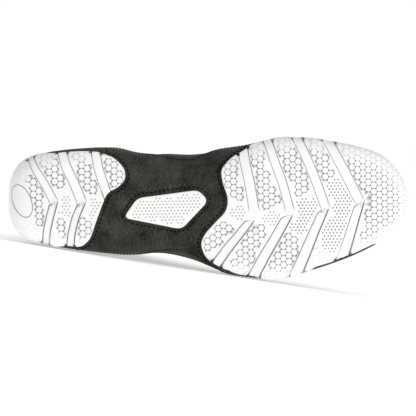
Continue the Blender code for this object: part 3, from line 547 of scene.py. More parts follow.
def plan(points, width=BALL_WIDTH):
    """Plan points in metres from percents of the length and of a width."""
    return np.array([(x * SHOE_LENGTH / 100, y * width / 100) for x, y in points])


# Sheets: vertices are rows of values, and triangles are cut along lines of equal value

POINT, NORMAL, X, T, V, PLACE = slice(0, 3), slice(3, 6), 6, 7, 8, 9


def split(values, triangles, field, level=0.0):
    """Splits the triangles that a line field == level crosses. Returns values, triangles and field."""
    above = field > level
    count = above[triangles].sum(axis=1)
    mixed = (count == 1) | (count == 2)
    crossed = triangles[mixed]
    flags = above[crossed]
    lone = np.where(count[mixed, None] == 1, flags, ~flags).argmax(axis=1)
    order = (lone[:, None] + np.arange(3)) % 3
    a, b, c = np.take_along_axis(crossed, order, 1).T
    edges = np.sort(np.concatenate([np.stack([a, b], 1), np.stack([a, c], 1)]), axis=1)
    unique, index = np.unique(edges, axis=0, return_inverse=True)
    index = index.ravel()
    start, end = unique[:, 0], unique[:, 1]
    share = (level - field[start]) / (field[end] - field[start])
    made = values[start] + (values[end] - values[start]) * share[:, None]
    ab, ac = len(values) + index[: len(a)], len(values) + index[len(a):]
    triangles = np.concatenate([
        triangles[~mixed], np.stack([a, ab, ac], 1), np.stack([ab, b, c], 1), np.stack([ab, c, ac], 1),
    ])
    return np.concatenate([values, made]), triangles, np.concatenate([field, np.full(len(made), level)])


def kept_part(values, triangles, mask):
    """The chosen triangles, with the values of their vertices alone."""
    chosen = triangles[mask]
    used, index = np.unique(chosen, return_inverse=True)
    return values[used], index.reshape(-1, 3)


def cut(values, triangles, measure, levels=()):
    """Keeps what measure(values) calls positive, and adds lines at the given levels inside."""
    values, triangles, field = split(values, triangles, measure(values))
    middle = field[triangles].sum(axis=1)
    values, triangles = kept_part(values, triangles, middle > 0)
    for level in levels:
        values, triangles, _ = split(values, triangles, measure(values), level)
    return values, triangles


def grid_sheet(first_row, last_row, row_step=SHEET_ROWS, column_step=SHEET_COLUMNS):
    """A sheet over whole rings of the last."""
    rows = np.unique(np.append(np.arange(first_row, last_row, row_step), last_row))
    columns = np.arange(0, COLUMN_COUNT, column_step)
    pick = np.ix_(rows, columns)
    places = np.broadcast_to(PLACES[:, None], CHART[0].shape)
    tables = [table[pick][..., None] for table in (*CHART, places)]
    values = np.concatenate([LAST[pick], NORMALS[pick], *tables], axis=2)
    count = len(columns)
    starts, numbers = np.arange(len(rows) - 1)[:, None] * count, np.arange(count)
    a, d = starts + numbers, starts + (numbers + 1) % count
    b, c = a + count, d + count
    triangles = np.concatenate([np.stack(ring, 2).reshape(-1, 3) for ring in ((a, b, c), (a, c, d))])
    return values.reshape(-1, values.shape[2]), triangles


def border(triangles):
    """Directed edges that only one triangle has."""
    edges = np.concatenate([triangles[:, [0, 1]], triangles[:, [1, 2]], triangles[:, [2, 0]]])
    ordered = np.sort(edges, axis=1)
    _, index, count = np.unique(ordered, axis=0, return_inverse=True, return_counts=True)
    return edges[count[index.ravel()] == 1]


# Where the shoe lies

HEEL_SPOT = next(m for m in frame["record"]["mounts"] if m["name"] == "heel_tread")


def lying_turn():
    """The turn from the standing shoe to the lying one, from the axis of the heel's flat spot."""
    sole_up = -np.array(HEEL_SPOT["axis"])
    down_z, ahead_z = -sole_up[2], sole_up[0]
    slope = -ahead_z / down_z
    down_x = slope / math.hypot(1, slope)
    down = Vector((down_x, math.sqrt(1 - down_x**2 - down_z**2), down_z))
    ahead = (Vector((1, 0, 0)) - down * down.x).normalized()
    return np.array(Matrix((ahead, ahead.cross(down), -down)))


def eyelet_middles():
    """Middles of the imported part's eyelets, lying, each with its name."""
    found = {}
    for name, node in frame["nodes"].items():
        if name.startswith("eyelet_"):
            found[name] = np.mean([v.co for v in node.data.vertices], axis=0)
    return found


def front_point(place, across, lift=0.0):
    """A point over the shoe's front, and the normal there: a ring place, a distance across and a lift."""
    rows = row_at([place])
    columns = SIDE_CELLS * (1 - across / side_length(rows, 1 if across >= 0 else -1))
    normal = sample(NORMALS, rows, columns)[0]
    normal = normal / np.linalg.norm(normal)
    return sample(LAST, rows, columns)[0] + normal * lift, normal


def front_places(count, start, end):
    """Ring places evenly spaced by distance along the front line."""
    fine = np.linspace(start, end, 200)
    line = spline(RINGS, fine)[:, 2:4]
    distances = lengths_along(line)
    return np.interp(np.linspace(0, distances[-1], count), distances, fine)


EYELET_PLACES = front_places(EYELET_PAIRS, THROAT_RING + 0.45, COLLAR_RING - 0.6)
EYELET_LIFT = 0.0020
HOLE_CLEARANCE = 0.0002


def eyelet_spots():
    """Each eyelet's name, ring place and distance across, positive on the lateral side."""
    return [
        (f"eyelet_{word}_{number}", place, side * eyelet_across(place))
        for number, place in enumerate(EYELET_PLACES, start=1)
        for side, word in ((1, "lateral"), (-1, "medial"))
    ]


def eyelet_across(place):
    """Distance of the eyelets from the front line."""
    return throat_at(place) + EYELET_FROM_THROAT


TURN = lying_turn()


def lying_place():
    """The move that goes with the turn: eyelets onto the part's, and the tread onto its flat spot."""
    middles = eyelet_middles()
    moves = [
        middles[name] - TURN @ front_point(place, across, EYELET_LIFT)[0]
        for name, place, across in eyelet_spots()
    ]
    move = np.mean(moves, axis=0)
    sole_up = TURN[:, 2]
    return move + sole_up * (np.array(HEEL_SPOT["pos_m"]) - move).dot(sole_up)


PLACE_MOVE = lying_place()


def lay(points):
    """Standing points, turned and moved to where the part lies."""
    return np.asarray(points, float) @ TURN.T + PLACE_MOVE


# Meshes

# A face wider than this in the texture lies over the tables' seam
SEAM_FACE = 0.08


def corner_uvs(mesh, uvs):
    """The texture place of each face corner, with faces over the tables' seam brought together."""
    corners = np.empty(len(mesh.loops), int)
    mesh.loops.foreach_get("vertex_index", corners)
    starts, totals = np.empty(len(mesh.polygons), int), np.empty(len(mesh.polygons), int)
    mesh.polygons.foreach_get("loop_start", starts)
    mesh.polygons.foreach_get("loop_total", totals)
    found = uvs[corners][:, :2].copy()
    if uvs.shape[1] > 2:
        width = np.maximum.reduceat(found[:, 1], starts) - np.minimum.reduceat(found[:, 1], starts)
        crossing = np.repeat(width > SEAM_FACE, totals) & (found[:, 1] < 0)
        found[crossing, 1] += uvs[corners][crossing, 2]
    return found


def sheet_uvs(values):
    """Texture places of a sheet's two faces: along the shoe, round it, and round the whole ring."""
    whole = np.interp(row_at(values[:, PLACE]), ROWS, SIDE_LENGTHS.sum(axis=1))
    one = np.column_stack([values[:, X], values[:, V], whole])
    return np.concatenate([one, one])


def make_mesh(name, points, faces, looks, replaced=(), slot=None, sharp=38, shades=None, uvs=None,
              look_numbers=None):
    """A finished piece: its object, materials, shading and the nodes it stands for."""
    mesh = bpy.data.meshes.new(name)
    mesh.from_pydata(lay(points).tolist(), [], [list(map(int, f)) for f in faces])
    if shades is not None:
        mesh.attributes.new("shade", "FLOAT", "POINT").data.foreach_set("value", np.clip(shades, 0, 1))
    if uvs is not None:
        corners = corner_uvs(mesh, np.asarray(uvs, float)).ravel()
        mesh.uv_layers.new(name="weave").data.foreach_set("uv", corners)
    if look_numbers is not None:
        mesh.polygons.foreach_set("material_index", look_numbers)
    for look in looks:
        mesh.materials.append(look)
    made = bpy.data.objects.new(name, mesh)
    bpy.context.scene.collection.objects.link(made)
    shape = bmesh.new()
    shape.from_mesh(mesh)
    bmesh.ops.remove_doubles(shape, verts=shape.verts, dist=1e-6)
    bmesh.ops.dissolve_degenerate(shape, dist=1e-7, edges=shape.edges)
    bmesh.ops.recalc_face_normals(shape, faces=shape.faces)
    shape.to_mesh(mesh)
    shape.free()
    mesh.shade_smooth()
    mesh.set_sharp_from_angle(angle=math.radians(sharp))
    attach(made, "root")
    if replaced:
        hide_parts(*replaced)
    return made


def closed_sheet(outer, inner, triangles):
    """Points and faces of the closed body between two faces of the same triangles."""
    count = len(outer)
    edges = border(triangles)
    walls = np.stack([edges[:, 1], edges[:, 0], edges[:, 0] + count, edges[:, 1] + count], axis=1)
    faces = [*triangles.tolist(), *(triangles[:, ::-1] + count).tolist(), *walls.tolist()]
    return np.concatenate([outer, inner]), faces


def skin(name, values, triangles, outer, inner, looks, replaced, slot, rims_lined=False):
    """A piece between two offsets of the last. A second look is its lining's."""
    sides = [values[:, POINT] + values[:, NORMAL] * np.reshape(offset, (-1, 1)) for offset in (outer, inner)]
    points, faces = closed_sheet(*sides, triangles)
    numbers, uvs = None, None
    if len(looks) > 1:
        numbers = np.zeros(len(faces), int)
        numbers[len(triangles) : len(faces) if rims_lined else 2 * len(triangles)] = 1
        uvs = sheet_uvs(values)
    return make_mesh(name, points, faces, looks, [replaced], slot, uvs=uvs, look_numbers=numbers)


def rounded(distance, radius):
    """How far a rounded edge has dropped at a distance inside it."""
    inside = np.clip(1 - distance / radius, 0, 1)
    return radius * (1 - np.sqrt(1 - inside**2))


# Materials

def new_material(name, colour, roughness, shine=0.5, sheen=0.0):
    """A Principled material with its constants."""
    made = bpy.data.materials.new(name)
    made.use_nodes = True
    shader = made.node_tree.nodes["Principled BSDF"]
    shader.inputs["Base Color"].default_value = (*colour, 1.0)
    shader.inputs["Roughness"].default_value = roughness
    shader.inputs["Specular IOR Level"].default_value = shine
    shader.inputs["Sheen Weight"].default_value = sheen
    return made


def add_node(made, kind, inputs, **settings):
    """A new node of a material, with the values of its inputs and its own settings."""
    node = made.node_tree.nodes.new("ShaderNode" + kind)
    for name, value in inputs.items():
        node.inputs[name].default_value = value
    for name, value in settings.items():
        setattr(node, name, value)
    return node


def add_texture(made, place, kind, inputs, **settings):
    """A new node over an output that gives places."""
    node = add_node(made, kind, inputs, **settings)
    made.node_tree.links.new(place, node.inputs["Vector"])
    return node


def dress(made, shade, stops, height, strength, depth):
    """Colours a material by a ramp over one output, and gives it a relief by another."""
    links = made.node_tree.links
    shader = made.node_tree.nodes["Principled BSDF"]
    ramp = add_node(made, "ValToRGB", {})
    for stop, (position, colour) in zip(ramp.color_ramp.elements, stops):
        stop.position, stop.color = position, (*colour, 1)
    bump = add_node(made, "Bump", {"Strength": strength, "Distance": depth})
    links.new(shade, ramp.inputs["Fac"])
    links.new(ramp.outputs["Color"], shader.inputs["Base Color"])
    links.new(height, bump.inputs["Height"])
    links.new(bump.outputs["Normal"], shader.inputs["Normal"])
    return made


def rubber():
    """Matt white moulded rubber, with painted shade darkening its creases: grooves, slits, pits and dimples.
    """
    made = new_material("white_rubber", (0.86, 0.86, 0.85), 0.5)
    place = add_node(made, "TexCoord", {}).outputs["Object"]
    noise = add_texture(made, place, "TexNoise", {"Scale": 900})
    painted_crease_shade = add_node(made, "Attribute", {}, attribute_name="shade")
    # The "shade" attribute is painted shade: near white at 0, dark grey at 1
    stops = ((0.0, (0.87, 0.87, 0.86)), (1.0, (0.12, 0.12, 0.115)))
    return dress(made, painted_crease_shade.outputs["Fac"], stops, noise.outputs["Fac"], 0.12, 0.0002)


def suede():
    """Charcoal suede: a brushed nap over a soft mottling."""
    made = new_material("charcoal_suede", (0.030, 0.029, 0.026), 0.95, shine=0.06, sheen=0.12)
    made.node_tree.nodes["Principled BSDF"].inputs["Sheen Roughness"].default_value = 0.5
    place = add_node(made, "TexCoord", {}).outputs["Object"]
    brushed = add_texture(made, place, "Mapping", {"Scale": (1.0, 1.0, 0.4)}).outputs["Vector"]
    nap = {"Scale": 1100, "Detail": 5, "Roughness": 0.7}
    fine = add_texture(made, brushed, "TexNoise", nap).outputs["Fac"]
    broad = add_texture(made, place, "TexNoise", {"Scale": 75, "Detail": 5}).outputs["Fac"]
    part = add_node(made, "Math", {1: 0.45}, operation="MULTIPLY")
    mixed = add_node(made, "Math", {1: 0.55}, operation="MULTIPLY_ADD")
    links = made.node_tree.links
    links.new(broad, part.inputs[0])
    links.new(fine, mixed.inputs[0])
    links.new(part.outputs["Value"], mixed.inputs[2])
    stops = ((0.39, (0.010, 0.0098, 0.0086)), (0.63, (0.062, 0.060, 0.051)))
    return dress(made, mixed.outputs["Value"], stops, fine, 0.7, 0.0005)


def mesh_cloth():
    """Knitted mesh: rows of small open holes in a dark olive yarn."""
    made = new_material("dark_mesh", (0.040, 0.040, 0.034), 0.85, shine=0.15)
    place = add_node(made, "UVMap", {}, uv_map="weave").outputs["UV"]
    turned = add_texture(made, place, "Mapping", {"Rotation": (0.0, 0.0, math.pi / 4)}).outputs["Vector"]
    holes = add_texture(made, turned, "TexVoronoi", {"Scale": 640, "Randomness": 0.0}).outputs["Distance"]
    stops = ((0.20, (0.004, 0.004, 0.004)), (0.38, (0.095, 0.091, 0.072)))
    return dress(made, holes, stops, holes, 0.6, 0.0004)


def braid():
    """Flat braided lace: fine slanting ribs."""
    made = new_material("black_braid", (0.026, 0.026, 0.025), 0.75, shine=0.2)
    place = add_node(made, "UVMap", {}, uv_map="weave").outputs["UV"]
    waves = {"Scale": 330, "Distortion": 1.5}
    ribs = add_texture(made, place, "TexWave", waves, bands_direction="DIAGONAL").outputs["Fac"]
    stops = ((0.0, (0.010, 0.010, 0.010)), (1.0, (0.050, 0.050, 0.048)))
    return dress(made, ribs, stops, ribs, 0.6, 0.0004)


def grained(name, dark, light, roughness, shine, scale):
    """A plain look with a fine grain."""
    made = new_material(name, light, roughness, shine)
    place = add_node(made, "TexCoord", {}).outputs["Object"]
    noise = add_texture(made, place, "TexNoise", {"Scale": scale, "Detail": 3}).outputs["Fac"]
    return dress(made, noise, ((0.3, dark), (0.7, light)), noise, 0.25, 0.0002)


RUBBER = rubber()
SUEDE = suede()
MESH_CLOTH = mesh_cloth()
LINING = grained("dark_lining", (0.016, 0.016, 0.016), (0.034, 0.034, 0.034), 0.9, 0.1, 900)
ENAMEL = grained("black_enamel", (0.012, 0.012, 0.012), (0.018, 0.018, 0.018), 0.32, 0.5, 400)
LACE_BRAID = braid()
THREAD = grained("black_thread", (0.002, 0.002, 0.002), (0.005, 0.005, 0.005), 0.9, 0.02, 2000)
PALE_THREAD = grained("pale_thread", (0.16, 0.16, 0.15), (0.24, 0.24, 0.22), 0.9, 0.05, 2000)


# The sole's pads

CHART_STEP = 0.0013
CLEAR_OF_LINES = 0.0008
RIM_RADIUS = 0.0010
RIM_LEVELS = (0.00012, 0.0004, 0.0010)
THINNEST = 0.0001
CORNER_BLEND = 0.004


def signed_distance(points, line):
    """Distance of points from an open polyline, positive on its left."""
    start, end = line[:-1], line[1:]
    step = end - start
    away = points[:, None, :] - start
    share = np.clip((away * step).sum(2) / (step**2).sum(1), 0, 1)
    rest = away - share[..., None] * step
    squares = (rest**2).sum(2)
    nearest = squares.argmin(axis=1)
    pick = np.arange(len(points)), nearest
    turn = step[nearest, 0] * rest[pick][:, 1] - step[nearest, 1] * rest[pick][:, 0]
    return np.sqrt(squares[pick]) * np.where(turn >= 0, 1, -1)


def smooth_min(a, b, reach):
    """The lower of two distances, rounded where they are close."""
    return np.minimum(a, b) - np.clip(reach - abs(a - b), 0, None) ** 2 / (4 * reach)


def wrap_heights(table):
    """The sole's upper edge as points of x and z, from a table of shares."""
    heights = {"heel": HEEL_WRAP_HEIGHT, "side": SIDE_WRAP_HEIGHT, "toe": TOE_WRAP_HEIGHT}
    line = np.array([(x * SHOE_LENGTH, heights[which] * share) for x, which, share in table])
    return smooth_line(line, 3)


def extended(line, distance):
    """A polyline run on straight at both ends."""
    first = line[0] + (line[0] - line[1]) / np.linalg.norm(line[0] - line[1]) * distance
    last = line[-1] + (line[-1] - line[-2]) / np.linalg.norm(line[-1] - line[-2]) * distance
    return np.concatenate([[first], line, [last]])


# Where a pad's edge sits lower, so that the upper bulges past it: side, start and end in percents
# of SHOE_LENGTH, and by how much
LOWER_EDGES = (
    (-1, 7.5, 27.5, 0.0042),
    (1, 10.5, 27.0, 0.0042),
    (1, 73.0, 95.0, 0.0065),
)
LOWER_EDGE_RUN = 0.012
PAD_EDGE_RUN_ON = 0.02
LEAST_SLOPE = 0.3


def pad_measure(edge_points, width, top_table, side):
    """Distance inside a pad's outline, as a function of chart points.

    side is 1 where the pad is on the right of its plan edge, and -1 where it is on the left.
    """
    edge = to_chart(extended(smooth_line(plan(edge_points, width), 6), PAD_EDGE_RUN_ON))
    top = wrap_heights(top_table)

    def measure(chart):
        tread = on_surface(TREAD, chart)
        normal = on_surface(NORMALS, chart)
        height = np.interp(tread[:, 0], top[:, 0], top[:, 1])
        for half, start, end, lower in LOWER_EDGES:
            start, end = start * SHOE_LENGTH / 100, end * SHOE_LENGTH / 100
            rise = smooth_step(start, start + LOWER_EDGE_RUN, tread[:, 0])
            rise = rise * (1 - smooth_step(end - LOWER_EDGE_RUN, end, tread[:, 0]))
            height = height - lower * rise * (half * chart[:, 1] > 0)
        slope = np.maximum(np.sqrt(np.clip(1 - normal[:, 2] ** 2, 0, 1)), LEAST_SLOPE)
        below_top = (height - tread[:, 2]) / slope
        return smooth_min(signed_distance(chart, edge) * side, below_top, CORNER_BLEND)

    return measure


heel_measure = pad_measure(HEEL_PAD_FRONT, HEEL_WIDTH, HEEL_PAD_TOP, 1)
forefoot_measure = pad_measure(FOREFOOT_PAD_REAR, BALL_WIDTH, FOREFOOT_PAD_TOP, -1)


def tread_thickness(chart):
    """How thick the rubber is before its relief."""
    return np.linalg.norm(on_surface(TREAD, chart) - on_surface(LAST, chart), axis=1) - GAP


class Relief:
    """Chart points with heights, and the lines between them, for one pad."""

    def __init__(self):
        self.points, self.heights, self.shades = [], [], []
        self.lines, self.blocked, self.index = [], [], {}

    def add(self, point, height, shade=0.0):
        """Adds a point once, with its height and how much painted shade darkens it, and returns its number.
        """
        key = (round(point[0] * 1e6), round(point[1] * 1e6))
        if key not in self.index:
            self.index[key] = len(self.points)
            self.points.append((float(point[0]), float(point[1])))
            self.heights.append(height)
            self.shades.append(shade)
        return self.index[key]

    def line(self, a, b):
        """Adds a line between two numbered points."""
        if a != b:
            self.lines.append((a, b))

    def loops(self, *rings):
        """Adds the lines of closed loops of numbered points, one line of each loop at a time."""
        for k in range(len(rings[0])):
            for ring in rings:
                self.line(ring[k], ring[(k + 1) % len(ring)])

    def block(self, point, radius):
        """Keeps the filling points away from a place."""
        self.blocked.append((point, radius))


# A groove's section from its edge inwards: distance from the edge, share of the depth and painted shade.
# The row numbered SLIT is the slit at the foot of the wall, cut deepest and darkest in painted shade
GROOVE_SECTION = (
    (0.0, 0.0, 0.0),
    (0.00026, 0.8, 0.5),
    (0.00050, 1.6, 0.8),
    (0.00080, 1.0, 0.1),
    (0.0014, 0.9, 0.0),
)
SLIT = 2
SECTION_REACH = 0.8
# How strong the painted shade in each side's grooves is
GROOVE_SHADES = {"medial": 0.6, "lateral": 0.95}
GROOVE_RUN_ON = 0.014
MEDIAL_INNER_RUN_ON = 0.0028
MEDIAL_FADE = 0.08
MEDIAL_SHARE = 0.75
LEAST_RUBBER = 0.0005
RIM_FLOOR = 0.3
RIM_FADE = (0.0015, 0.006)
RIM_SLIT_REACH = 0.0035
SLIT_BEYOND = 0.0006
SLIT_FROM_SHARE = 0.99

# The pointed inner end of a lateral groove: shares of its width along it, and of its half width
# across it, for two points, then shares of the depth at its first two sections
TIP = (-0.40, -0.85)
SHOULDER = (0.22, 0.60)
TIP_DEPTHS = (0.0, 0.7)


def groove_line(pad, middle, steps=7):
    """A groove's middle line in plan."""
    return smooth_line(plan(middle, HEEL_WIDTH if pad == "heel" else BALL_WIDTH), steps)


# The small cuts through the rubber where a groove's edges run out over the side
END_CUT_RADIUS = 0.00125
END_CUT_FLOOR = 0.00100
END_CUT_INSIDE_RIM = 0.0006
END_CUT_FACING = 0.50
END_CUT_BEYOND = 0.0008
END_CUT_CORNERS = 8
END_CUT_SEARCH = 40


def add_end_cut(relief, edge, measure):
    """A cut at the outer end of a groove's edge: at the rim, or where the side turns out of sight."""
    shares = np.linspace(0, len(edge) - 1, END_CUT_SEARCH * len(edge))
    numbers = np.arange(len(edge))
    chart = to_chart(np.stack([np.interp(shares, numbers, edge[:, k]) for k in (0, 1)], axis=1))
    past = (measure(chart) < END_CUT_INSIDE_RIM) | (-on_surface(NORMALS, chart)[:, 2] < END_CUT_FACING)
    past[: len(past) // 3] = False
    if not past.any():
        return
    middle = chart[int(np.argmax(past))]
    through = tread_thickness(middle[None])[0] + END_CUT_BEYOND
    turns = 2 * math.pi * np.arange(END_CUT_CORNERS) / END_CUT_CORNERS
    ring = np.stack([np.cos(turns), np.sin(turns)], axis=1)
    # Painted shade darkens the cut: half at its rim, fully on its floor.
    outer = [relief.add(middle + spot * END_CUT_RADIUS, 0.0, 0.5) for spot in ring]
    inner = [relief.add(middle + spot * END_CUT_FLOOR, -through, 1.0) for spot in ring]
    relief.add(middle, -through, 1.0)
    relief.loops(outer)
    relief.loops(inner)
    relief.block(middle, END_CUT_RADIUS + CLEAR_OF_LINES)


def groove_edges(side, widths, line):
    """The two edges of a groove, and its depth at each of their points."""
    inner_width, outer_width = widths
    ends = (outer_width, inner_width) if side == "medial" else (inner_width, outer_width)
    width = np.interp(np.linspace(0, 1, len(line)), (0, 1), ends)
    normals = left_of(line) * width[:, None] / 2
    left, right = line + normals, line - normals
    if side == "medial":
        fade = smooth_step(1 - MEDIAL_FADE, 1.0, np.linspace(0, 1, len(line)))
        return left, right, MEDIAL_GROOVE_DEPTH * MEDIAL_SHARE * (1 - fade)
    ahead = unit(line[1:2] - line[:1])[0]
    tip, shoulder = (
        line[0] + ahead * inner_width * along + normals[0] * across for along, across in (TIP, SHOULDER)
    )
    left = np.concatenate([[tip, (tip + shoulder) / 2, shoulder], left[2:]])
    right = np.concatenate([[tip, (tip + right[0]) / 2, right[0]], right[2:]])
    return left, right, LATERAL_GROOVE_DEPTH * np.concatenate([TIP_DEPTHS, np.ones(len(left) - 2)])


def groove_rows(left, right, depths):
    """Section points across a groove: plan point, depth, share of the full depth and section row."""
    rows = []
    full = max(depths.max(), 1e-9)
    kinds = [(k, level, shade) for k, (_, level, shade) in enumerate(GROOVE_SECTION)]
    kinds += kinds[-1:] + kinds[::-1]
    for a, b, depth in zip(left, right, depths):
        half = np.linalg.norm(b - a) / 2
        squeeze = min(1.0, half * SECTION_REACH / GROOVE_SECTION[-1][0])
        across = [distance * squeeze / max(half, 1e-9) for distance, _, _ in GROOVE_SECTION]
        places = [-1 + s for s in across] + [0.0] + [1 - s for s in reversed(across)]
        middle, reach = (a + b) / 2, (b - a) / 2
        rows.append([(middle + reach * p, depth, depth / full, *kind) for p, kind in zip(places, kinds)])
    return rows


def add_groove(relief, pad, side, widths, middle, measure):
    """A flex groove: a strip of section points along its middle line."""
    line = groove_line(pad, middle)
    beyond = extended(line, GROOVE_RUN_ON)
    inner_end = extended(line, MEDIAL_INNER_RUN_ON)[-1:]
    line = np.concatenate([beyond[:-1], inner_end]) if side == "medial" else beyond[1:]
    left, right, depths = groove_edges(side, widths, line)
    rows = groove_rows(left, right, depths)
    flat = to_chart([spot[0] for row in rows for spot in row])
    rim, thickness = measure(flat), tread_thickness(flat)
    numbers, k = [], 0
    for row in rows:
        numbers.append([])
        for _, depth, share, kind, level, shade in row:
            drop = depth * level
            if kind > SLIT:
                drop *= 1 - (1 - RIM_FLOOR) * (1 - smooth_step(*RIM_FADE, rim[k]))
            drop = min(drop, max(thickness[k] - LEAST_RUBBER, 0))
            if kind == SLIT and share > SLIT_FROM_SHARE and rim[k] < RIM_SLIT_REACH:
                drop = thickness[k] + SLIT_BEYOND
            numbers[-1].append(relief.add(flat[k], -drop, shade * share * GROOVE_SHADES[side]))
            k += 1
    for row, next_row in zip(numbers, numbers[1:]):
        for p, number in enumerate(row):
            for other in next_row[p : p + 2]:
                relief.line(number, other)
    for row in numbers:
        for a, b in zip(row, row[1:]):
            relief.line(a, b)
    for edge in (left, right):
        add_end_cut(relief, edge if side == "lateral" else edge[::-1], measure)
    halfway = (left[1:] + right[1:] + left[:-1] + right[:-1]) / 4
    for spot in to_chart(np.concatenate([(left + right) / 2, halfway])):
        relief.block(spot, max(widths) / 2 + CLEAR_OF_LINES)


# The bare oval at the heel's back: middle in percents, half lengths in metres and its lean
OVAL_MIDDLE = (3.6, 0.7)
OVAL_REACH = (0.0120, 0.0066)
OVAL_LEAN = math.radians(68)
# The groove's section: widening, height and painted shade
OVAL_SECTION = ((-0.00045, 0.0, 0.0), (0.0, -0.00060, 0.9), (0.00045, 0.0, 0.0))


def oval(wider, count=60):
    """The oval's outline in plan, widened by a distance."""
    angles = 2 * math.pi * np.arange(count) / count
    along, across = np.cos(angles) * (OVAL_REACH[0] + wider), np.sin(angles) * (OVAL_REACH[1] + wider)
    c, s = math.cos(OVAL_LEAN), math.sin(OVAL_LEAN)
    return plan([OVAL_MIDDLE])[0] + np.stack([along * c - across * s, along * s + across * c], axis=1)


def add_oval(relief):
    """The fine groove round the bare oval, darkened with painted shade."""
    for wider, height, shade in OVAL_SECTION:
        chart = to_chart(oval(wider))
        relief.loops([relief.add(p, height, shade) for p in chart])
        for p in chart:
            relief.block(p, CLEAR_OF_LINES)


def oval_clearance(points):
    """Distance of plan points outside the oval."""
    outline = oval(0.0)
    loop = np.concatenate([outline, outline[:1]])
    return abs(signed_distance(points, loop)) * np.where(inside_outline(points, outline), -1, 1)


# The hexagon tread: one regular pattern across the shoe, cut into patches
HEX_PITCH = 0.00437
HEX_COLUMN = HEX_PITCH * math.sqrt(3) / 2
HEX_CORNER = HEX_PITCH / math.sqrt(3)
HEX_ORIGIN = (0.2605, -0.0126)
HEX_TURN = math.radians(-1)
HEX_COLUMNS = range(-72, 8)
HEX_ROWS = range(-12, 20)
HEX_POINTS = 12
STUD_AT_CORNER = 0.00200
STUD_AT_SIDE = 0.00192
HEX_DEPTH_AT_CORNER = 0.00110
HEX_DEPTH_AT_SIDE = 0.00055
# Painted shade in the honeycomb's groove, strongest at its corners, and in each dimple
HEX_SHADE_AT_CORNER = 1.0
HEX_SHADE_AT_SIDE = 0.45
DIMPLE_RADIUS = 0.00045
DIMPLE_DEPTH = 0.00020
DIMPLE_SHADE = 0.25
PIT_RADIUS = 0.00074
PIT_FLOOR = 0.00034
PIT_DEPTH = 0.00090
PIT_FROM_EDGE, PIT_FROM_GROOVE = 0.0016, 0.0012
STUD_FROM_EDGE, STUD_FROM_GROOVE = HEX_PITCH * 0.55, HEX_PITCH * 0.50
CLEAR_OF_SHAPE = 0.0004
CLEARANCE_RUN_ON = 0.004
FAINT_AT_RIM = 0.30

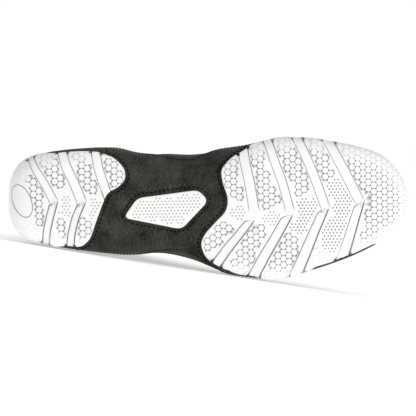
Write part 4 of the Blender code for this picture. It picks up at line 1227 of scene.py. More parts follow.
# Patches of the pattern: pad, kind, share of the depth, and each patch's corners in percents of
# SHOE_LENGTH and of BALL_WIDTH
PATCHES = (
    ("forefoot", "studs", 1.0, (
        ((81.3, -45.0), (90.3, -42.0), (101.0, -25.0), (103.0, 0.0), (101.0, 22.0), (95.5, 38.0),
         (94.2, 24.0), (92.3, 10.4), (90.0, 1.4), (88.0, -10.4), (84.1, -33.3)),
        ((55.0, -31.0), (53.6, -19.4), (54.9, -2.8), (58.7, 2.6), (58.4, -4.8), (57.2, -14.5),
         (56.2, -32.0)),
        ((60.2, -46.0), (62.6, -46.0), (64.3, -19.4), (67.3, 0.0), (65.9, 4.6), (63.4, 4.9), (61.2, -24.3)),
        ((66.2, -48.0), (69.6, -48.0), (73.4, -24.3), (75.4, -7.4), (72.6, -3.8), (69.8, -18.8)),
        ((73.4, -48.0), (76.8, -48.0), (78.6, -33.3), (81.2, -18.8), (78.4, -14.4), (76.9, -27.8)),
        ((49.2, 30.0), (53.2, 17.6), (56.5, 15.9), (55.5, 21.5), (51.8, 32.3), (49.4, 40.0)),
        ((62.2, 16.4), (64.6, 18.4), (61.8, 34.7), (58.5, 58.0), (54.0, 58.0), (57.0, 40.3), (60.4, 24.3)),
        ((70.0, 25.0), (72.6, 27.0), (71.0, 40.3), (69.2, 58.0), (63.5, 58.0), (67.0, 40.3)),
        ((89.6, 6.0), (92.2, 18.8), (92.4, 31.0), (86.4, 42.0), (88.2, 26.4), (89.3, 18.1)),
    )),
    ("forefoot", "pits", 0.6, (
        ((55.5, 4.6), (59.4, 4.6), (59.4, 11.4), (55.5, 11.4)),
        ((64.4, 8.7), (67.6, 8.7), (67.6, 14.9), (64.4, 14.9)),
    )),
    ("forefoot", "pits", 0.85, (
        ((73.1, -1.3), (77.3, 1.1), (76.4, 10.4), (75.2, 20.4), (71.7, 21.8), (70.9, 16.7)),
        ((80.1, -11.0), (83.9, -13.8), (86.1, 2.1), (84.6, 17.4), (82.8, 32.3), (80.3, 36.0),
         (78.1, 30.9), (79.1, 18.8)),
    )),
    ("forefoot", "studs", 0.4, (
        ((74.5, 34.0), (80.0, 36.0), (81.0, 50.0), (73.5, 54.0)),
    )),
    ("heel", "studs", 1.0, (
        ((4.4, -14.9), (6.2, -16.3), (8.8, -4.9), (9.4, 9.0), (8.7, 17.3), (7.4, 17.6), (7.3, 6.9),
         (6.8, -1.4)),
        ((7.7, -34.0), (11.4, -34.0), (12.0, -22.0), (14.4, -10.1), (13.4, -7.3), (11.6, -9.7),
         (8.9, -22.2)),
        ((16.4, -38.0), (19.6, -38.0), (19.9, -24.3), (21.9, -6.4), (20.1, -3.9), (18.4, -15.3)),
        ((24.1, -36.0), (28.6, -30.0), (29.6, -17.4), (28.2, -10.5), (25.8, -9.8), (24.6, -20.8)),
    )),
    ("heel", "pits", 0.6, (
        ((13.2, -1.4), (15.9, -1.4), (15.9, 9.0), (13.2, 9.0)),
        ((20.4, 0.0), (23.1, 0.0), (22.6, 11.1), (20.2, 11.1)),
    )),
    ("heel", "studs", 0.9, (
        ((12.4, 14.6), (14.7, 14.6), (14.4, 24.0), (12.2, 24.0)),
        ((18.6, 14.6), (20.9, 14.6), (20.2, 24.6), (18.3, 24.6)),
    )),
    ("heel", "studs", 0.35, (
        ((3.0, 18.0), (8.0, 20.0), (8.2, 36.0), (0.0, 30.0)),
        ((11.4, 24.0), (14.9, 24.0), (14.6, 42.0), (11.2, 42.0)),
        ((17.4, 24.6), (20.4, 24.6), (18.6, 36.0), (16.8, 36.0)),
        ((-1.0, -20.0), (4.0, -36.0), (6.2, -24.0), (3.4, -15.0)),
    )),
    ("arch", "pits", 0.6, (
        ((31.3, 8.3), (32.8, 2.8), (35.6, 0.3), (47.3, -2.1), (47.8, 2.1), (45.0, 8.3), (42.8, 15.3),
         (41.0, 15.3), (35.6, 12.5), (32.1, 11.1)),
    )),
)


def inside_outline(points, outline):
    """Which points lie inside a closed plan outline."""
    x, y = points[:, 0, None], points[:, 1, None]
    x1, y1 = outline.T
    x2, y2 = np.roll(outline, -1, axis=0).T
    crosses = (y1 > y) != (y2 > y)
    with np.errstate(divide="ignore", invalid="ignore"):
        meets = x < (x2 - x1) * (y - y1) / (y2 - y1) + x1
    return (crosses & meets).sum(axis=1) % 2 == 1


def hexagon_centres():
    """Centres of the whole hexagon pattern, by column and row."""
    found = {}
    c, s = math.cos(HEX_TURN), math.sin(HEX_TURN)
    for i in HEX_COLUMNS:
        for j in HEX_ROWS:
            along, across = i * HEX_COLUMN, (j + (i % 2) / 2) * HEX_PITCH
            found[i, j] = (HEX_ORIGIN[0] + along * c - across * s, HEX_ORIGIN[1] + along * s + across * c)
    return found


HEXAGONS = hexagon_centres()


def around(centre, radii, count):
    """Points round a centre of the pattern, at radii that repeat."""
    angles = HEX_TURN + 2 * math.pi * np.arange(count) / count
    radius = np.resize(radii, count)
    return np.array(centre) + np.stack([np.cos(angles), np.sin(angles)], axis=1) * radius[:, None]


def add_stud(relief, centre, depth):
    """A stud of the tread: a round top inside the honeycomb's groove, with a dimple; painted shade darkens
    the groove and the dimple.
    """
    groove = around(centre, (HEX_CORNER, HEX_PITCH / 2), HEX_POINTS)
    top = around(centre, (STUD_AT_CORNER, STUD_AT_SIDE), HEX_POINTS)
    dimple = around(centre, (DIMPLE_RADIUS,), 6)
    chart = to_chart(np.concatenate([groove, top, dimple, [centre]]))
    at_corner = (-depth * HEX_DEPTH_AT_CORNER, depth * HEX_SHADE_AT_CORNER)
    at_side = (-depth * HEX_DEPTH_AT_SIDE, depth * HEX_SHADE_AT_SIDE)
    flat = [(0.0, 0.0)] * (len(top) + len(dimple))
    looks = [at_corner, at_side] * 6 + flat + [(-depth * DIMPLE_DEPTH, depth * DIMPLE_SHADE)]
    numbers = [relief.add(point, height, dark) for point, (height, dark) in zip(chart, looks)]
    relief.loops(numbers[:HEX_POINTS], numbers[HEX_POINTS : 2 * HEX_POINTS])
    relief.loops(numbers[2 * HEX_POINTS : -1])
    relief.block(chart[-1], HEX_CORNER + CLEAR_OF_SHAPE)


def add_lip(relief, centre):
    """The flat lip beside a patch: the top of a missing stud, where it faces the groove."""
    for point in to_chart(around(centre, (STUD_AT_CORNER, STUD_AT_SIDE), HEX_POINTS)):
        relief.add(point, 0.0)


def add_pit(relief, point, depth):
    """A small pit where three hexagons would meet, its floor darkened with painted shade."""
    chart = to_chart(np.concatenate([around(point, (r,), 6) for r in (PIT_RADIUS, PIT_FLOOR)] + [[point]]))
    numbers = [relief.add(p, 0.0) for p in chart[:6]]
    numbers += [relief.add(p, -PIT_DEPTH * depth, depth) for p in chart[6:]]
    relief.loops(numbers[:6], numbers[6:12])
    relief.block(chart[-1], PIT_RADIUS + CLEAR_OF_SHAPE)


def turning_lines():
    """Where the sole turns up into its sides: distance from the middle at each row, on both sides."""
    lines = []
    for columns in (np.arange(SIDE_CELLS), -np.arange(SIDE_CELLS) % COLUMN_COUNT):
        steep = NORMALS[:, columns, 2] > -0.5
        first = np.where(steep.any(axis=1), steep.argmax(axis=1), 0)
        lines.append(abs(CHART[1][ROWS, columns[first]]))
    return lines


TURNS = turning_lines()
CLEAR_FROM, CLEAR_BY = 0.001, 0.013
CLEAR_FACING = (0.86, 0.99)


def clearness(chart):
    """How clear the pattern is: 1 under the foot, 0 where the sole turns up into its sides."""
    rows, _ = grid_places(chart)
    lateral, medial = (np.interp(rows, ROWS, line) for line in TURNS)
    turn = np.where(chart[:, 1] >= 0, lateral, medial)
    across = smooth_step(CLEAR_FROM, CLEAR_BY, turn - abs(chart[:, 1]))
    return across * smooth_step(*CLEAR_FACING, -on_surface(NORMALS, chart)[:, 2])


def add_patches(relief, pad, measure, clearance):
    """The pad's part of the hexagon pattern, clear of its grooves and its edge."""
    keys = list(HEXAGONS)
    centres = np.array([HEXAGONS[k] for k in keys])
    taken = {}
    for kind, depth, corners in [(g[1], g[2], corners) for g in PATCHES if g[0] == pad for corners in g[3]]:
        inside = [k for k, ok in zip(keys, inside_outline(centres, plan(corners))) if ok and k not in taken]
        if not inside:
            continue
        if kind == "studs":
            spots = np.array([HEXAGONS[k] for k in inside])
            chart = to_chart(spots)
            rim, room, clear = measure(chart), clearance(spots), clearness(chart)
            for k, edge, free, full in zip(inside, rim, room, clear):
                if edge > STUD_FROM_EDGE and free > STUD_FROM_GROOVE:
                    taken[k] = depth * (FAINT_AT_RIM + (1 - FAINT_AT_RIM) * float(full))
            continue
        pits = {}
        for k in inside:
            for p in [*around(HEXAGONS[k], (HEX_CORNER,), 6), np.array(HEXAGONS[k])]:
                pits[tuple(np.round(p, 4))] = p
        spots = np.array([pits[k] for k in sorted(pits)])
        rim, room = measure(to_chart(spots)), clearance(spots)
        for spot, edge, free in zip(spots, rim, room):
            if edge > PIT_FROM_EDGE and free > PIT_FROM_GROOVE:
                add_pit(relief, spot, depth)
    for k in sorted(taken):
        add_stud(relief, HEXAGONS[k], taken[k])
    lips = set()
    for i, j in sorted(taken):
        slanting = [(i + di, j + dj + i % 2) for di in (-1, 1) for dj in (-1, 0)]
        for near in [(i, j - 1), (i, j + 1)] + slanting:
            if near in HEXAGONS and near not in taken:
                if clearance(np.array([HEXAGONS[near]]))[0] > STUD_FROM_GROOVE:
                    lips.add(near)
    for near in sorted(lips):
        add_lip(relief, HEXAGONS[near])


def groove_clearance(pad):
    """Distance from a pad's grooves, as a function of plan points."""
    lines = [
        (extended(groove_line(pad, middle, 4), CLEARANCE_RUN_ON), sum(widths) / 2)
        for where, _, widths, middle in GROOVES
        if where == pad
    ]

    def measure(points):
        free = np.full(len(points), 1.0)
        for line, width in lines:
            free = np.minimum(free, abs(signed_distance(points, line)) - width / 2)
        return np.minimum(free, oval_clearance(points)) if pad == "heel" else free

    return measure


def fill(relief, low, high, measure):
    """Fills the chart's room between the lines with a loose grid of flat points."""
    tree = KDTree(len(relief.points) + len(relief.blocked))
    reach = []
    for number, point in enumerate(relief.points):
        tree.insert((*point, 0), number)
        reach.append(CLEAR_OF_LINES)
    for number, (point, radius) in enumerate(relief.blocked, start=len(relief.points)):
        tree.insert((*point, 0), number)
        reach.append(radius)
    tree.balance()
    widest = max(reach)
    xs, ts = np.arange(low[0], high[0], CHART_STEP), np.arange(low[1], high[1], CHART_STEP)
    spots = np.array([(x + (k % 2) * CHART_STEP / 2, t) for k, t in enumerate(ts) for x in xs])
    spots = spots[measure(spots) > -3 * CHART_STEP]
    for spot in spots:
        near = tree.find_range((*spot, 0), widest)
        if all(distance > reach[number] for _, number, distance in near):
            relief.add(spot, 0.0)


def pad_sheet(relief):
    """Triangles over a relief's points: values are chart x, chart t, height and painted shade."""
    points, _, faces, origins, _, _ = delaunay_2d_cdt(
        [Vector(p) for p in relief.points], relief.lines, [], 0, 1e-7, True
    )
    looks = np.full((len(points), 2), np.nan)
    for k, origin in enumerate(origins):
        if origin:
            lowest = min(origin, key=lambda o: relief.heights[o])
            looks[k] = relief.heights[lowest], relief.shades[lowest]
    points, triangles = np.array([tuple(p) for p in points]), np.array([tuple(f) for f in faces])
    for k in np.nonzero(np.isnan(looks[:, 0]))[0]:
        ring = triangles[(triangles == k).any(axis=1)].ravel()
        looks[k] = np.nanmean(looks[ring], axis=0)
    return np.column_stack([points, looks]), triangles


def rubber_pad(name, pad, measure, window, outer_grid, inner_offset):
    """One pad of the sole, with its grooves, its tread and a rounded rim."""
    relief = Relief()
    for where, side, widths, middle in GROOVES:
        if where == pad:
            add_groove(relief, pad, side, widths, middle, measure)
    if pad == "heel":
        add_oval(relief)
    add_patches(relief, pad, measure, groove_clearance(pad))
    fill(relief, *window, measure)
    values, triangles = pad_sheet(relief)
    values, triangles = cut(values, triangles, lambda v: measure(v[:, :2]), RIM_LEVELS)

    def left_over(v):
        body = np.linalg.norm(on_surface(outer_grid, v[:, :2]) - on_surface(LAST, v[:, :2]), axis=1)
        return body - inner_offset + v[:, 2] - rounded(measure(v[:, :2]), RIM_RADIUS) - THINNEST

    values, triangles = cut(values, triangles, left_over)
    chart = values[:, :2]
    normals = unit(on_surface(NORMALS, chart))
    drop = rounded(measure(chart), RIM_RADIUS)
    outer = on_surface(outer_grid, chart) + normals * (values[:, 2] - drop)[:, None]
    inner = on_surface(LAST, chart) + normals * inner_offset
    points, faces = closed_sheet(outer, inner, triangles)
    # Painted shade on the outer face only
    shades = np.concatenate([values[:, 3], np.zeros(len(inner))])
    return make_mesh(name, points, faces, [RUBBER], [f"outsole_{pad}"], "white_rubber", shades=shades)


def arch_outline():
    """Plan outline of the arch pad, its corners rounded."""
    corners = plan(ARCH_PAD)
    points = []
    for before, corner, after in zip(np.roll(corners, 1, axis=0), corners, np.roll(corners, -1, axis=0)):
        start = corner + (before - corner) / np.linalg.norm(before - corner) * ARCH_PAD_CORNER
        end = corner + (after - corner) / np.linalg.norm(after - corner) * ARCH_PAD_CORNER
        for t in np.linspace(0, 1, 7):
            points.append(start * (1 - t) ** 2 + corner * 2 * t * (1 - t) + end * t**2)
    return np.array(points)


def arch_measure(chart):
    """Distance inside the arch pad's outline."""
    loop = np.concatenate([ARCH_LOOP, ARCH_LOOP[:1]])
    inside = inside_outline(chart, ARCH_LOOP)
    return abs(signed_distance(chart, loop)) * np.where(inside, 1, -1)


ARCH_LOOP = to_chart(arch_outline())
ARCH_SEAT = GAP + SUEDE_THICKNESS + GAP


# The chart's windows that hold the pads: lowest and highest x and t
HEEL_WINDOW = ((-0.03, -0.06), (0.09, 0.06))
FOREFOOT_WINDOW = ((0.125, -0.075), (0.305, 0.085))
ARCH_WINDOW = ((0.075, -0.012), (0.145, 0.025))


def sole():
    """The three rubber pads."""
    rubber_pad("outsole_heel_tread", "heel", heel_measure, HEEL_WINDOW, TREAD, GAP)
    rubber_pad("outsole_forefoot_tread", "forefoot", forefoot_measure, FOREFOOT_WINDOW, TREAD, GAP)
    arch_face = LAST + NORMALS * (ARCH_SEAT + ARCH_PAD_THICKNESS)
    rubber_pad("outsole_arch_tread", "arch", arch_measure, ARCH_WINDOW, arch_face, ARCH_SEAT)


# The upper

# Edges of its pieces: rounding, lines cut beside them, corners, and starts as ring places
EDGE_RADIUS = 0.0006
EDGE_LEVELS = (0.0002, 0.0006, 0.0012)
SIDES_MEET = 0.002
THROAT_LEVELS = (0.0004, 0.001)
FACING_START = THROAT_RING - 1.5
FACING_INNER_CORNER = 0.001
FACING_AHEAD = 0.014
FACING_CORNER = 0.012
TONGUE_START = THROAT_RING - 1.2
TONGUE_CORNER = 0.020
TONGUE_EDGE_RADIUS = 0.0012
TONGUE_EDGE_LEVELS = (0.0004, 0.001, 0.002)
TONGUE_THINNING = 0.0014
TONGUE_THINS = (0.7, 1.1)
TONGUE_UNDER_ROUNDING = 0.3


def edge_heights(x):
    """The suede's upper edge above the ground: lateral and medial."""
    fine = smooth_line(np.array(SUEDE_EDGE[1:]), 6)
    return [SEAT + np.interp(x, fine[:, 0] * SHOE_LENGTH, fine[:, k]) * INSTEP_HEIGHT for k in (1, 2)]


def below_suede_edge(values):
    """Distance below the suede's upper edge."""
    lateral, medial = edge_heights(values[:, 0])
    share = smooth_step(-SIDES_MEET, SIDES_MEET, values[:, 1])
    return medial + (lateral - medial) * share - values[:, 2]


def off_the_pads(values):
    """Distance outside the heel and forefoot pads."""
    chart = values[:, [X, T]]
    return -np.maximum(heel_measure(chart), forefoot_measure(chart)) - GAP


def suede_lower():
    """The suede skin over the lower part of the upper."""
    values, triangles = grid_sheet(0, SHAFT_TOP)
    values, triangles = cut(values, triangles, below_suede_edge, EDGE_LEVELS)
    values, triangles = cut(values, triangles, off_the_pads, (EDGE_RADIUS,))
    outer = GAP + SUEDE_THICKNESS - rounded(below_suede_edge(values), EDGE_RADIUS)
    return skin("suede_lower", values, triangles, outer, GAP, [SUEDE], "suede_wrap", "suede")


def throat_width(place):
    """Half width of the throat's opening at ring places, rounded at its foot."""
    distance = front_distance(THROAT_RING, place)
    width = throat_at(place)
    inside = np.clip(1 - distance / np.maximum(width, 1e-6), 0, 1)
    return np.where(distance > 0, width * np.sqrt(np.clip(1 - inside**2, 0, 1)), distance)


def off_the_throat(values):
    """Distance from the throat's opening."""
    return abs(values[:, V]) - throat_width(values[:, PLACE])


def off_the_eyelets(values):
    """Distance from the eyelets' holes."""
    free = np.full(len(values), 1.0)
    for _, place, across in eyelet_spots():
        away = np.linalg.norm(values[:, POINT] - front_point(place, across)[0], axis=1)
        free = np.minimum(free, away - EYELET_HOLE_RADIUS - HOLE_CLEARANCE)
    return free


def mesh_upper():
    """The hollow upper: mesh outside, lining inside."""
    values, triangles = grid_sheet(0, SHAFT_TOP)
    values, triangles = cut(values, triangles, off_the_throat, THROAT_LEVELS)
    values, triangles = cut(values, triangles, off_the_eyelets)
    looks = [MESH_CLOTH, LINING]
    return skin("upper_shell", values, triangles, 0, -UPPER_WALL, looks, "upper", "mesh_cloth", True)


def facing_width(place):
    """Width of the facing beside the throat, as the part's source has it."""
    rows = row_at(place)
    end = np.interp(rows, ROWS, SIDE_LENGTHS.mean(axis=1))
    wide = np.interp(rows, ROWS, WIDEST.mean(axis=1))
    return (end - throat_at(place) - wide) / 6 * 2


def facing_measure(values):
    """Distance inside the facing's outline."""
    place = values[:, PLACE]
    ahead = front_distance(THROAT_RING, place) + FACING_AHEAD
    outer = throat_at(place) + facing_width(place) - abs(values[:, V])
    return smooth_min(smooth_min(outer, ahead, FACING_CORNER), off_the_throat(values), FACING_INNER_CORNER)


def eyestay():
    """The facing that carries the eyelets."""
    values, triangles = grid_sheet(row_near(FACING_START), SHAFT_TOP, 1, 1)
    values, triangles = cut(values, triangles, facing_measure, EDGE_LEVELS)
    values, triangles = cut(values, triangles, off_the_eyelets)
    outer = GAP + EYESTAY_THICKNESS - rounded(facing_measure(values), EDGE_RADIUS)
    return skin("eyestay_facing", values, triangles, outer, GAP, [SUEDE], "eyestay", "suede")


def tongue_measure(values):
    """Distance inside the tongue's outline."""
    place = values[:, PLACE]
    side = throat_at(place) + facing_width(place) / 2 - abs(values[:, V])
    return smooth_min(side, front_distance(place, tongue_end()), TONGUE_CORNER)


def tongue_end():
    """Ring place of the tongue's upper edge."""
    step = np.linalg.norm(RINGS[-1, 2:4] - RINGS[-2, 2:4])
    return COLLAR_RING + TONGUE_RISE / step


def tongue():
    """The tongue: padded in its middle, thin at its sides."""
    values, triangles = grid_sheet(row_near(TONGUE_START), ROW_COUNT - 1)
    values, triangles = cut(values, triangles, tongue_measure, TONGUE_EDGE_LEVELS)
    drop = rounded(tongue_measure(values), TONGUE_EDGE_RADIUS)
    from_middle = abs(values[:, V]) / throat_at(values[:, PLACE])
    thin = smooth_step(*TONGUE_THINS, from_middle) * TONGUE_THINNING
    lift = UPPER_WALL + TONGUE_CLEARANCE
    outer, inner = -(lift + drop + thin), -(lift + TONGUE_THICKNESS - drop * TONGUE_UNDER_ROUNDING)
    looks = [MESH_CLOTH, LINING]
    made = skin("tongue_padded", values, triangles, outer, inner, looks, "tongue", "mesh_cloth")
    return made


def insole():
    """The footbed: its underside follows the upper's inside, and its top is level across."""
    inside = UPPER_WALL + GAP
    bottom = LAST[:, 0] - NORMALS[:, 0] * inside
    under = NORMALS[:, 0, 2] < -0.6
    order = np.argsort(bottom[under, 0])
    xs, zs = bottom[under, 0][order], bottom[under, 2][order]
    values, triangles = grid_sheet(6, SHAFT_TOP)

    def lower(v):
        return v[:, POINT] - v[:, NORMAL] * inside

    def measure(v):
        return np.interp(lower(v)[:, 0], xs, zs) + INSOLE_THICKNESS - lower(v)[:, 2]

    values, triangles = cut(values, triangles, measure, (0.0006,))
    under_side = lower(values)
    top = under_side.copy()
    top[:, 2] = np.maximum(np.interp(top[:, 0], xs, zs) + INSOLE_THICKNESS, under_side[:, 2])
    points, faces = closed_sheet(under_side, top, triangles)
    return make_mesh("footbed", points, faces, [LINING], ["insole"], "lining")


# A swept section's corners and the power of its roundness
SWEPT_CORNERS = 12
SWEPT_POWER = 2.6


def swept(path, across, sizes, corners=SWEPT_CORNERS):
    """Points and faces of a rounded flat section swept along a path, closed at both ends."""
    tangents = unit(np.gradient(path, axis=0))
    across = unit(across - tangents * (across * tangents).sum(1)[:, None])
    thick = np.cross(tangents, across)
    angles = 2 * math.pi * (np.arange(corners) + 0.5) / corners
    u, w = (np.sign(wave) * abs(wave) ** (2 / SWEPT_POWER) for wave in (np.cos(angles), np.sin(angles)))
    rings = path[:, None] + across[:, None] * (u * sizes[:, :1] / 2)[..., None]
    rings = rings + thick[:, None] * (w * sizes[:, 1:] / 2)[..., None]
    faces = []
    for r in range(len(path) - 1):
        for k in range(corners):
            a, b = r * corners + k, r * corners + (k + 1) % corners
            faces.append((a, b, b + corners, a + corners))
    last = (len(path) - 1) * corners
    faces.append(tuple(range(corners))[::-1])
    faces.append(tuple(range(last, last + corners)))
    along = lengths_along(path)
    uvs = np.stack([np.repeat(along, corners), np.tile(u * LACE_WIDTH / 2, len(path))], axis=1)
    return rings.reshape(-1, 3), faces, uvs


COLLAR_ROLL_WIDTH = 0.0036
COLLAR_ROLL_HEIGHT = 0.0052
COLLAR_RISE = 0.0012
COLLAR_FROM_FACING = 0.0006


def collar():
    """The soft binding round the shaft's edge, between the two facings."""
    place = PLACES[SHAFT_TOP]
    start = float(throat_at(place) + facing_width(np.array([place]))[0] + COLLAR_FROM_FACING)
    lateral = SIDE_CELLS * (1 - start / SIDE_LENGTHS[SHAFT_TOP, 0])
    medial = SIDE_CELLS * (1 + start / SIDE_LENGTHS[SHAFT_TOP, 1]) - COLUMN_COUNT
    columns = np.linspace(lateral, medial, 120)
    rows = np.full(len(columns), float(SHAFT_TOP))
    edge, normals = surface_path(rows, columns, 0.0)
    below = unit(sample(LAST, rows - 2, columns) - edge)
    path = edge - normals * (UPPER_WALL / 2) + below * (COLLAR_ROLL_HEIGHT / 2 - COLLAR_RISE)
    sizes = np.tile([COLLAR_ROLL_HEIGHT, COLLAR_ROLL_WIDTH], (len(path), 1))
    points, faces, uvs = swept(path, below, sizes)
    make_mesh("collar_binding", points, faces, [SUEDE], slot="suede", uvs=uvs, sharp=60)


# A rim's section from the hole outwards: radius and height
EYELET_SECTION = (
    (EYELET_HOLE_RADIUS, 0.0), (0.00208, 0.0005), (0.00228, 0.00082), (0.00270, 0.00098),
    (0.00315, 0.00088), (0.00348, 0.00055), (EYELET_RADIUS, 0.0),
)
EYELET_STEPS = 28
EYELET_SUNK = 0.00042


def eyelets():
    """The rolled metal rims of the lace holes."""
    middles = eyelet_middles()
    count = len(EYELET_SECTION)
    for name, place, across in eyelet_spots():
        normal = Vector(TURN @ front_point(place, across)[1]).normalized()
        first = normal.orthogonal().normalized()
        second = normal.cross(first)
        base = Vector(middles[name]) - normal * EYELET_SUNK
        points, faces = [], []
        for k in range(EYELET_STEPS):
            angle = 2 * math.pi * k / EYELET_STEPS
            out = first * math.cos(angle) + second * math.sin(angle)
            points += [base + out * r + normal * h for r, h in EYELET_SECTION]
        for k in range(EYELET_STEPS):
            for j in range(count):
                a, b = k * count + j, k * count + (j + 1) % count
                faces.append((a, b, (b + count) % len(points), (a + count) % len(points)))
        standing = (np.array([tuple(q) for q in points]) - PLACE_MOVE) @ TURN
        rim = name.replace("eyelet_", "eyelet_rim_")
        make_mesh(rim, standing, faces, [ENAMEL], [name], "enamel", sharp=50)


LACE_TOP = 0.0033
LACE_ON_FACING = 0.0023
LACE_UNDER = -0.0032
LACE_CROSSING = (-0.0016, -0.0003)
LACE_CROSSING_RISE = 0.0004
LACE_CROSSING_DIP = 0.0002
LACE_END_LIFT = 0.0016
LACE_LEAST_RUN = 0.0008

# The lace's sections: width and thickness
LACE_FLAT = (LACE_WIDTH, LACE_THICKNESS)
LACE_IN_HOLE = (0.0030, 0.0020)
LACE_INTO_HOLE = (0.0042, 0.0015)
LACE_PAST_HOLE = (0.0042, 0.0014)
LACE_OUT_OF_HOLE = (0.0040, 0.0015)
LACE_SPREADING = (0.0056, LACE_THICKNESS)
LACE_NARROWING = (0.0050, 0.0013)


# The lace's route. Its bar at the vamp: share of the eyelets' distance across,
# shift outwards, lift and section
LACE_BAR = (
    (0, 0.0, 0.0008, LACE_FLAT),
    (0, 0.007, 0.0014, LACE_FLAT),
    (1, -0.0045, 0.0028, LACE_FLAT),
    (1, -0.0008, LACE_TOP, LACE_INTO_HOLE),
    (1, 0.0, 0.0012, LACE_IN_HOLE),
    (1, -0.0006, -0.0026, LACE_PAST_HOLE),
)

# Between two pairs of eyelets: share of the way, the edge that the distance across is counted
# from, share of that edge's distance, shift outwards, lift and section
LACE_FIRST_LEG = (
    (0.10, "near eyelet", 1, -0.0040, LACE_UNDER, LACE_FLAT),
    (0.22, "near throat", 1, 0.0, LACE_UNDER, LACE_FLAT),
)
LACE_LEG = (
    (0.03, "near eyelet", 1, -0.0012, LACE_TOP, LACE_OUT_OF_HOLE),
    (0.12, "near eyelet", 1, -0.0045, 0.0029, LACE_SPREADING),
    (0.22, "near throat", 1, 0.0008, LACE_ON_FACING, LACE_FLAT),
)
LACE_LEG_END = (
    (0.78, "far throat", -1, 0.0, LACE_UNDER, LACE_FLAT),
    (0.92, "far eyelet", -1, 0.0035, LACE_UNDER, LACE_NARROWING),
    (1.0, "far eyelet", -1, 0.0004, -0.0018, LACE_IN_HOLE),
    (1.0, "far eyelet", -1, 0.0, 0.0012, LACE_IN_HOLE),
)


def lace_spots(side):
    """Control points of one half of the lace, from the bar at the vamp up to a top eyelet.

    Each is a ring place, a distance across, a lift, and the section's width and thickness.
    """
    first = EYELET_PLACES[0]
    out = float(eyelet_across(first))
    spots = [(first, side * (share * out + shift), lift, size) for share, shift, lift, size in LACE_BAR]
    for number, (start, end) in enumerate(zip(EYELET_PLACES, EYELET_PLACES[1:]), start=1):
        way = end - start
        edges = {
            "near eyelet": float(eyelet_across(start)),
            "near throat": float(throat_at(start + way * 0.25)),
            "far throat": float(throat_at(start + way * 0.75)),
            "far eyelet": float(eyelet_across(end)),
        }
        over = (number % 2 == 0) == (side > 0)
        middle = LACE_CROSSING[1 if over else 0]
        coming = middle + LACE_CROSSING_RISE if number > 1 else middle
        going = min(middle, LACE_CROSSING[0]) - LACE_CROSSING_DIP
        crossing = (
            (0.38, "near throat", 0.5, 0.0, coming, LACE_FLAT),
            (0.50, "near throat", 0, 0.0, middle, LACE_FLAT),
            (0.64, "far throat", -0.55, 0.0, going, LACE_FLAT),
        )
        for share, edge, part, shift, lift, size in (
            *(LACE_LEG if number > 1 else LACE_FIRST_LEG), *crossing, *LACE_LEG_END,
        ):
            spots.append((start + way * share, side * (part * edges[edge] + shift), lift, size))
        side = -side
    spots[-1] = (*spots[-1][:2], LACE_END_LIFT, LACE_IN_HOLE)
    return spots


def lace():
    """The flat braided lace, threaded through the eyelets from a bar at the vamp."""
    strands = []
    for side in (1, -1):
        spots = lace_spots(side)
        places = np.array([front_point(place, across, lift)[0] for place, across, lift, _ in spots])
        normals = np.array([front_point(place, across)[1] for place, across, _, _ in spots])
        sizes = np.array([size for *_, size in spots])
        flat = places - normals * np.array([spot[2] for spot in spots])[:, None]
        runs = np.gradient(flat, axis=0)
        for k in range(1, len(spots) - 1):
            if np.linalg.norm(runs[k]) < LACE_LEAST_RUN:
                runs[k] = flat[k] - flat[k - 1]
        across = np.cross(normals, runs)
        for k in range(len(across)):
            length = np.linalg.norm(across[k])
            across[k] = across[k] / length if length > 1e-9 else across[k - 1]
            if k and across[k] @ across[k - 1] < 0:
                across[k] = -across[k]
        strands.append((places, across, sizes))
    (a_places, a_across, a_sizes), (b_places, b_across, b_sizes) = strands
    if a_across[0] @ b_across[0] < 0:
        b_across = -b_across
    places = np.concatenate([a_places[:0:-1], b_places])
    across = np.concatenate([a_across[:0:-1], b_across])
    sizes = np.concatenate([a_sizes[:0:-1], b_sizes])
    path = smooth_line(places, 7)
    points, faces, uvs = swept(path, smooth_line(across, 7), smooth_line(sizes, 7))
    make_mesh("lace_flat", points, faces, [LACE_BRAID], ["lace"], "lace_cord", uvs=uvs, sharp=60)


# Stitches

# Length, step and radius of each kind, then the shape of one, and the rows' distances
PAD_STITCH = (0.0019, 0.0030, 0.00040)
SEAM_STITCH = (0.0018, 0.0026, 0.00028)
NEEDLE_DOT = (0.0006, 0.0035, 0.00028)
STITCH_SHARES = (-1.0, -0.7, 0.0, 0.7, 1.0)
STITCH_RADII = (0.35, 0.9, 1.0, 0.9, 0.35)
STITCH_SPREAD = 1.15

ON_SUEDE = GAP + SUEDE_THICKNESS + 0.0001
ON_FACING = GAP + EYESTAY_THICKNESS + 0.0001
FROM_PAD = 0.0026
DOTS_FROM_PAD = 0.0050
DOTS_STRETCH = (0.06, 0.42)
FROM_SEAM = 0.0018
SECOND_ROW = 0.0038


def stitch_bodies(path, normals, stitch):
    """Points and faces of stitches along a path on a surface."""
    stitch_length, step, thick = stitch
    distances = lengths_along(path)
    points, faces = [], []
    for centre in np.arange(step, distances[-1] - step / 2, step):
        spots = at_distance(path, distances, centre + np.array(STITCH_SHARES) * stitch_length / 2)
        up = unit(at_distance(normals, distances, np.array([centre])))[0]
        along = unit(spots[-1:] - spots[:1])[0]
        side = np.cross(up, along)
        base = len(points)
        for spot, radius, share in zip(spots, STITCH_RADII, STITCH_SHARES):
            middle = spot - up * 0.5 * thick * share**2
            for angle in np.arange(6) * math.pi / 3:
                out = side * math.cos(angle) * STITCH_SPREAD + up * math.sin(angle)
                points.append(middle + out * thick * radius)
        for ring in range(base, len(points) - 6, 6):
            for k in range(6):
                a, b = ring + k, ring + (k + 1) % 6
                faces.append((a, b, b + 6, a + 6))
        faces.append(tuple(range(base, base + 6))[::-1])
        faces.append(tuple(range(len(points) - 6, len(points))))
    return np.array(points), faces


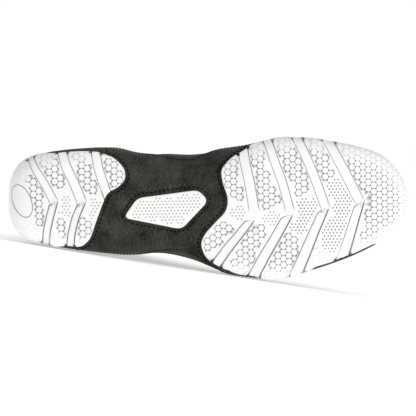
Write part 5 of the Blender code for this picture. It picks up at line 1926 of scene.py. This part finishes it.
def joined(bodies):
    """Points and faces of several bodies as one."""
    points, faces, count = [], [], 0
    for some, rings in bodies:
        points.append(some)
        faces += [tuple(k + count for k in ring) for ring in rings]
        count += len(some)
    return np.concatenate(points), faces


def surface_path(rows, columns, lift):
    """Points and normals over the last at rows and columns of its table."""
    normals = unit(sample(NORMALS, rows, columns))
    return sample(LAST, rows, columns) + normals * lift, normals


def chart_path(line, side, away):
    """Points and normals on the suede, at a distance to one side of a chart line."""
    return surface_path(*grid_places(line + left_of(line) * side * away), ON_SUEDE)


def suede_edge_path(side, inset):
    """The line at a distance below the suede's upper edge on one side."""
    rows, columns = [], []
    for row in range(12, SHAFT_TOP):
        cells = np.arange(0, SIDE_CELLS - 12)
        points = LAST[row, cells if side > 0 else (-cells) % COLUMN_COUNT]
        lateral, medial = edge_heights(points[:, 0])
        over = points[:, 2] - ((lateral if side > 0 else medial) - inset)
        if over[0] > 0:
            break
        first = int(np.argmax(over > 0))
        if over[first] <= 0:
            continue
        cell = first - over[first] / (over[first] - over[first - 1])
        rows.append(float(row))
        columns.append(cell if side > 0 else COLUMN_COUNT - cell)
    return surface_path(np.array(rows), np.array(columns), ON_SUEDE)


def pad_edge_path(edge_points, width, side, away):
    """The line at a distance outside a pad's plan edge, on the suede."""
    return chart_path(to_chart(smooth_line(plan(edge_points, width), 8)), -side, away)


def facing_path(side, from_throat, from_edge):
    """A line along the facing: a distance from the throat's edge, or from the facing's outer edge."""
    rows = np.arange(int(row_at(THROAT_RING + 0.15)), SHAFT_TOP - 1, 2).astype(float)
    places = np.interp(rows, ROWS, PLACES)
    across = throat_width(places) + from_throat
    if from_edge is not None:
        across = throat_at(places) + facing_width(places) - from_edge
    columns = SIDE_CELLS * (1 - side * across / side_length(rows, side))
    return surface_path(rows, columns, ON_FACING)


def arch_edge_path(start, end, away):
    """A line outside the arch pad's outline, between two shares of the way round it."""
    loop = np.concatenate([ARCH_LOOP, ARCH_LOOP[:1]])
    along = lengths_along(loop)
    line = at_distance(loop, along, np.linspace(start, end, 240) * along[-1])
    outward = np.where(((line - ARCH_LOOP.mean(axis=0)) * left_of(line)).sum(1) > 0, 1, -1)
    return chart_path(line, outward[:, None], away)


def stitches():
    """The seams' stitches on the suede, round the pads and along the facing."""
    make_mesh("stitches_round_pads", *joined([
        stitch_bodies(*pad_edge_path(HEEL_PAD_FRONT, HEEL_WIDTH, 1, FROM_PAD), PAD_STITCH),
        stitch_bodies(*pad_edge_path(FOREFOOT_PAD_REAR, BALL_WIDTH, -1, FROM_PAD), PAD_STITCH),
        stitch_bodies(*arch_edge_path(0.0, 1.0, FROM_PAD), PAD_STITCH),
    ]), [THREAD], slot="lace_cord")
    dots = stitch_bodies(*arch_edge_path(*DOTS_STRETCH, DOTS_FROM_PAD), NEEDLE_DOT)
    make_mesh("needle_dots", *dots, [PALE_THREAD], slot="lace_cord")
    lower = [stitch_bodies(*suede_edge_path(side, FROM_SEAM), SEAM_STITCH) for side in (1, -1)]
    make_mesh("stitches_on_suede", *joined(lower), [THREAD], slot="lace_cord")
    rows = ((FROM_SEAM, None), (0.0, FROM_SEAM), (0.0, SECOND_ROW))
    upper = [stitch_bodies(*facing_path(side, *row), SEAM_STITCH) for side in (1, -1) for row in rows]
    make_mesh("stitches_on_facing", *joined(upper), [THREAD], slot="lace_cord")


# The camera, with the place that it looks at on the standing shoe, then the floor, sky and lamp
CAMERA_DISTANCE = 2.0
VIEW_WIDTH = 0.2908
VIEW_CENTRE = (0.1405, 0.0056, 0.0)
FLOOR_BELOW = 0.0002
FLOOR_SIZE = 30
FLOOR_GLOW = 0.46
SKY_ON_SHOE = 0.66
LIGHT_PLACE = (1.3, -1.6, 0.25)
LIGHT_TARGET = (0, 0, 0.05)
LIGHT_SIZE = 0.6
LIGHT_POWER = 15.0


def camera():
    """The camera, level and square to the sole."""
    made = bpy.data.objects.new("camera", bpy.data.cameras.new("camera"))
    bpy.context.scene.collection.objects.link(made)
    bpy.context.scene.camera = made
    made.data.lens = made.data.sensor_width * CAMERA_DISTANCE / VIEW_WIDTH
    made.data.clip_start, made.data.clip_end = 0.05, 60
    right, up, back = TURN[:, 0], -TURN[:, 1], -TURN[:, 2]
    turn = Matrix(np.column_stack([right, up, back]).tolist()).to_4x4()
    place = lay([VIEW_CENTRE])[0] + back * CAMERA_DISTANCE
    made.matrix_world = Matrix.Translation(Vector(place)) @ turn


def floor():
    """A pale floor under the shoe."""
    bpy.ops.mesh.primitive_plane_add(size=FLOOR_SIZE)
    made = bpy.context.object
    made.name = "floor"
    made.location.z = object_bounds()[0].z - FLOOR_BELOW
    look = new_material("pale_floor", (0.92, 0.92, 0.92), 0.9, shine=0.1)
    shader = look.node_tree.nodes["Principled BSDF"]
    shader.inputs["Emission Color"].default_value = (1, 1, 1, 1)
    shader.inputs["Emission Strength"].default_value = FLOOR_GLOW
    made.data.materials.append(look)
    made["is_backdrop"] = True


def sky():
    """A white world that is dimmer on the shoe than to the camera."""
    world = bpy.data.worlds.new("studio")
    world.use_nodes = True
    nodes, links = world.node_tree.nodes, world.node_tree.links
    background = nodes["Background"]
    background.inputs["Color"].default_value = (1, 1, 1, 1)
    seen = nodes.new("ShaderNodeLightPath")
    strength = nodes.new("ShaderNodeMapRange")
    strength.inputs["To Min"].default_value = SKY_ON_SHOE
    strength.inputs["To Max"].default_value = 1.0
    links.new(seen.outputs["Is Camera Ray"], strength.inputs["Value"])
    links.new(strength.outputs["Result"], background.inputs["Strength"])
    bpy.context.scene.world = world


def front_light():
    """A soft lamp in front of the toe."""
    light = bpy.data.lights.new("front", "AREA")
    light.size, light.energy = LIGHT_SIZE, LIGHT_POWER
    lamp = bpy.data.objects.new("front", light)
    lamp.location = LIGHT_PLACE
    lamp.rotation_mode = "QUATERNION"
    lamp.rotation_quaternion = (Vector(LIGHT_TARGET) - Vector(LIGHT_PLACE)).to_track_quat("-Z", "Y")
    bpy.context.scene.collection.objects.link(lamp)


sole()
suede_lower()
mesh_upper()
eyestay()
tongue()
insole()
collar()
eyelets()
lace()
stitches()

bpy.context.scene.view_settings.view_transform = "Standard"
camera()
floor()
sky()
front_light()
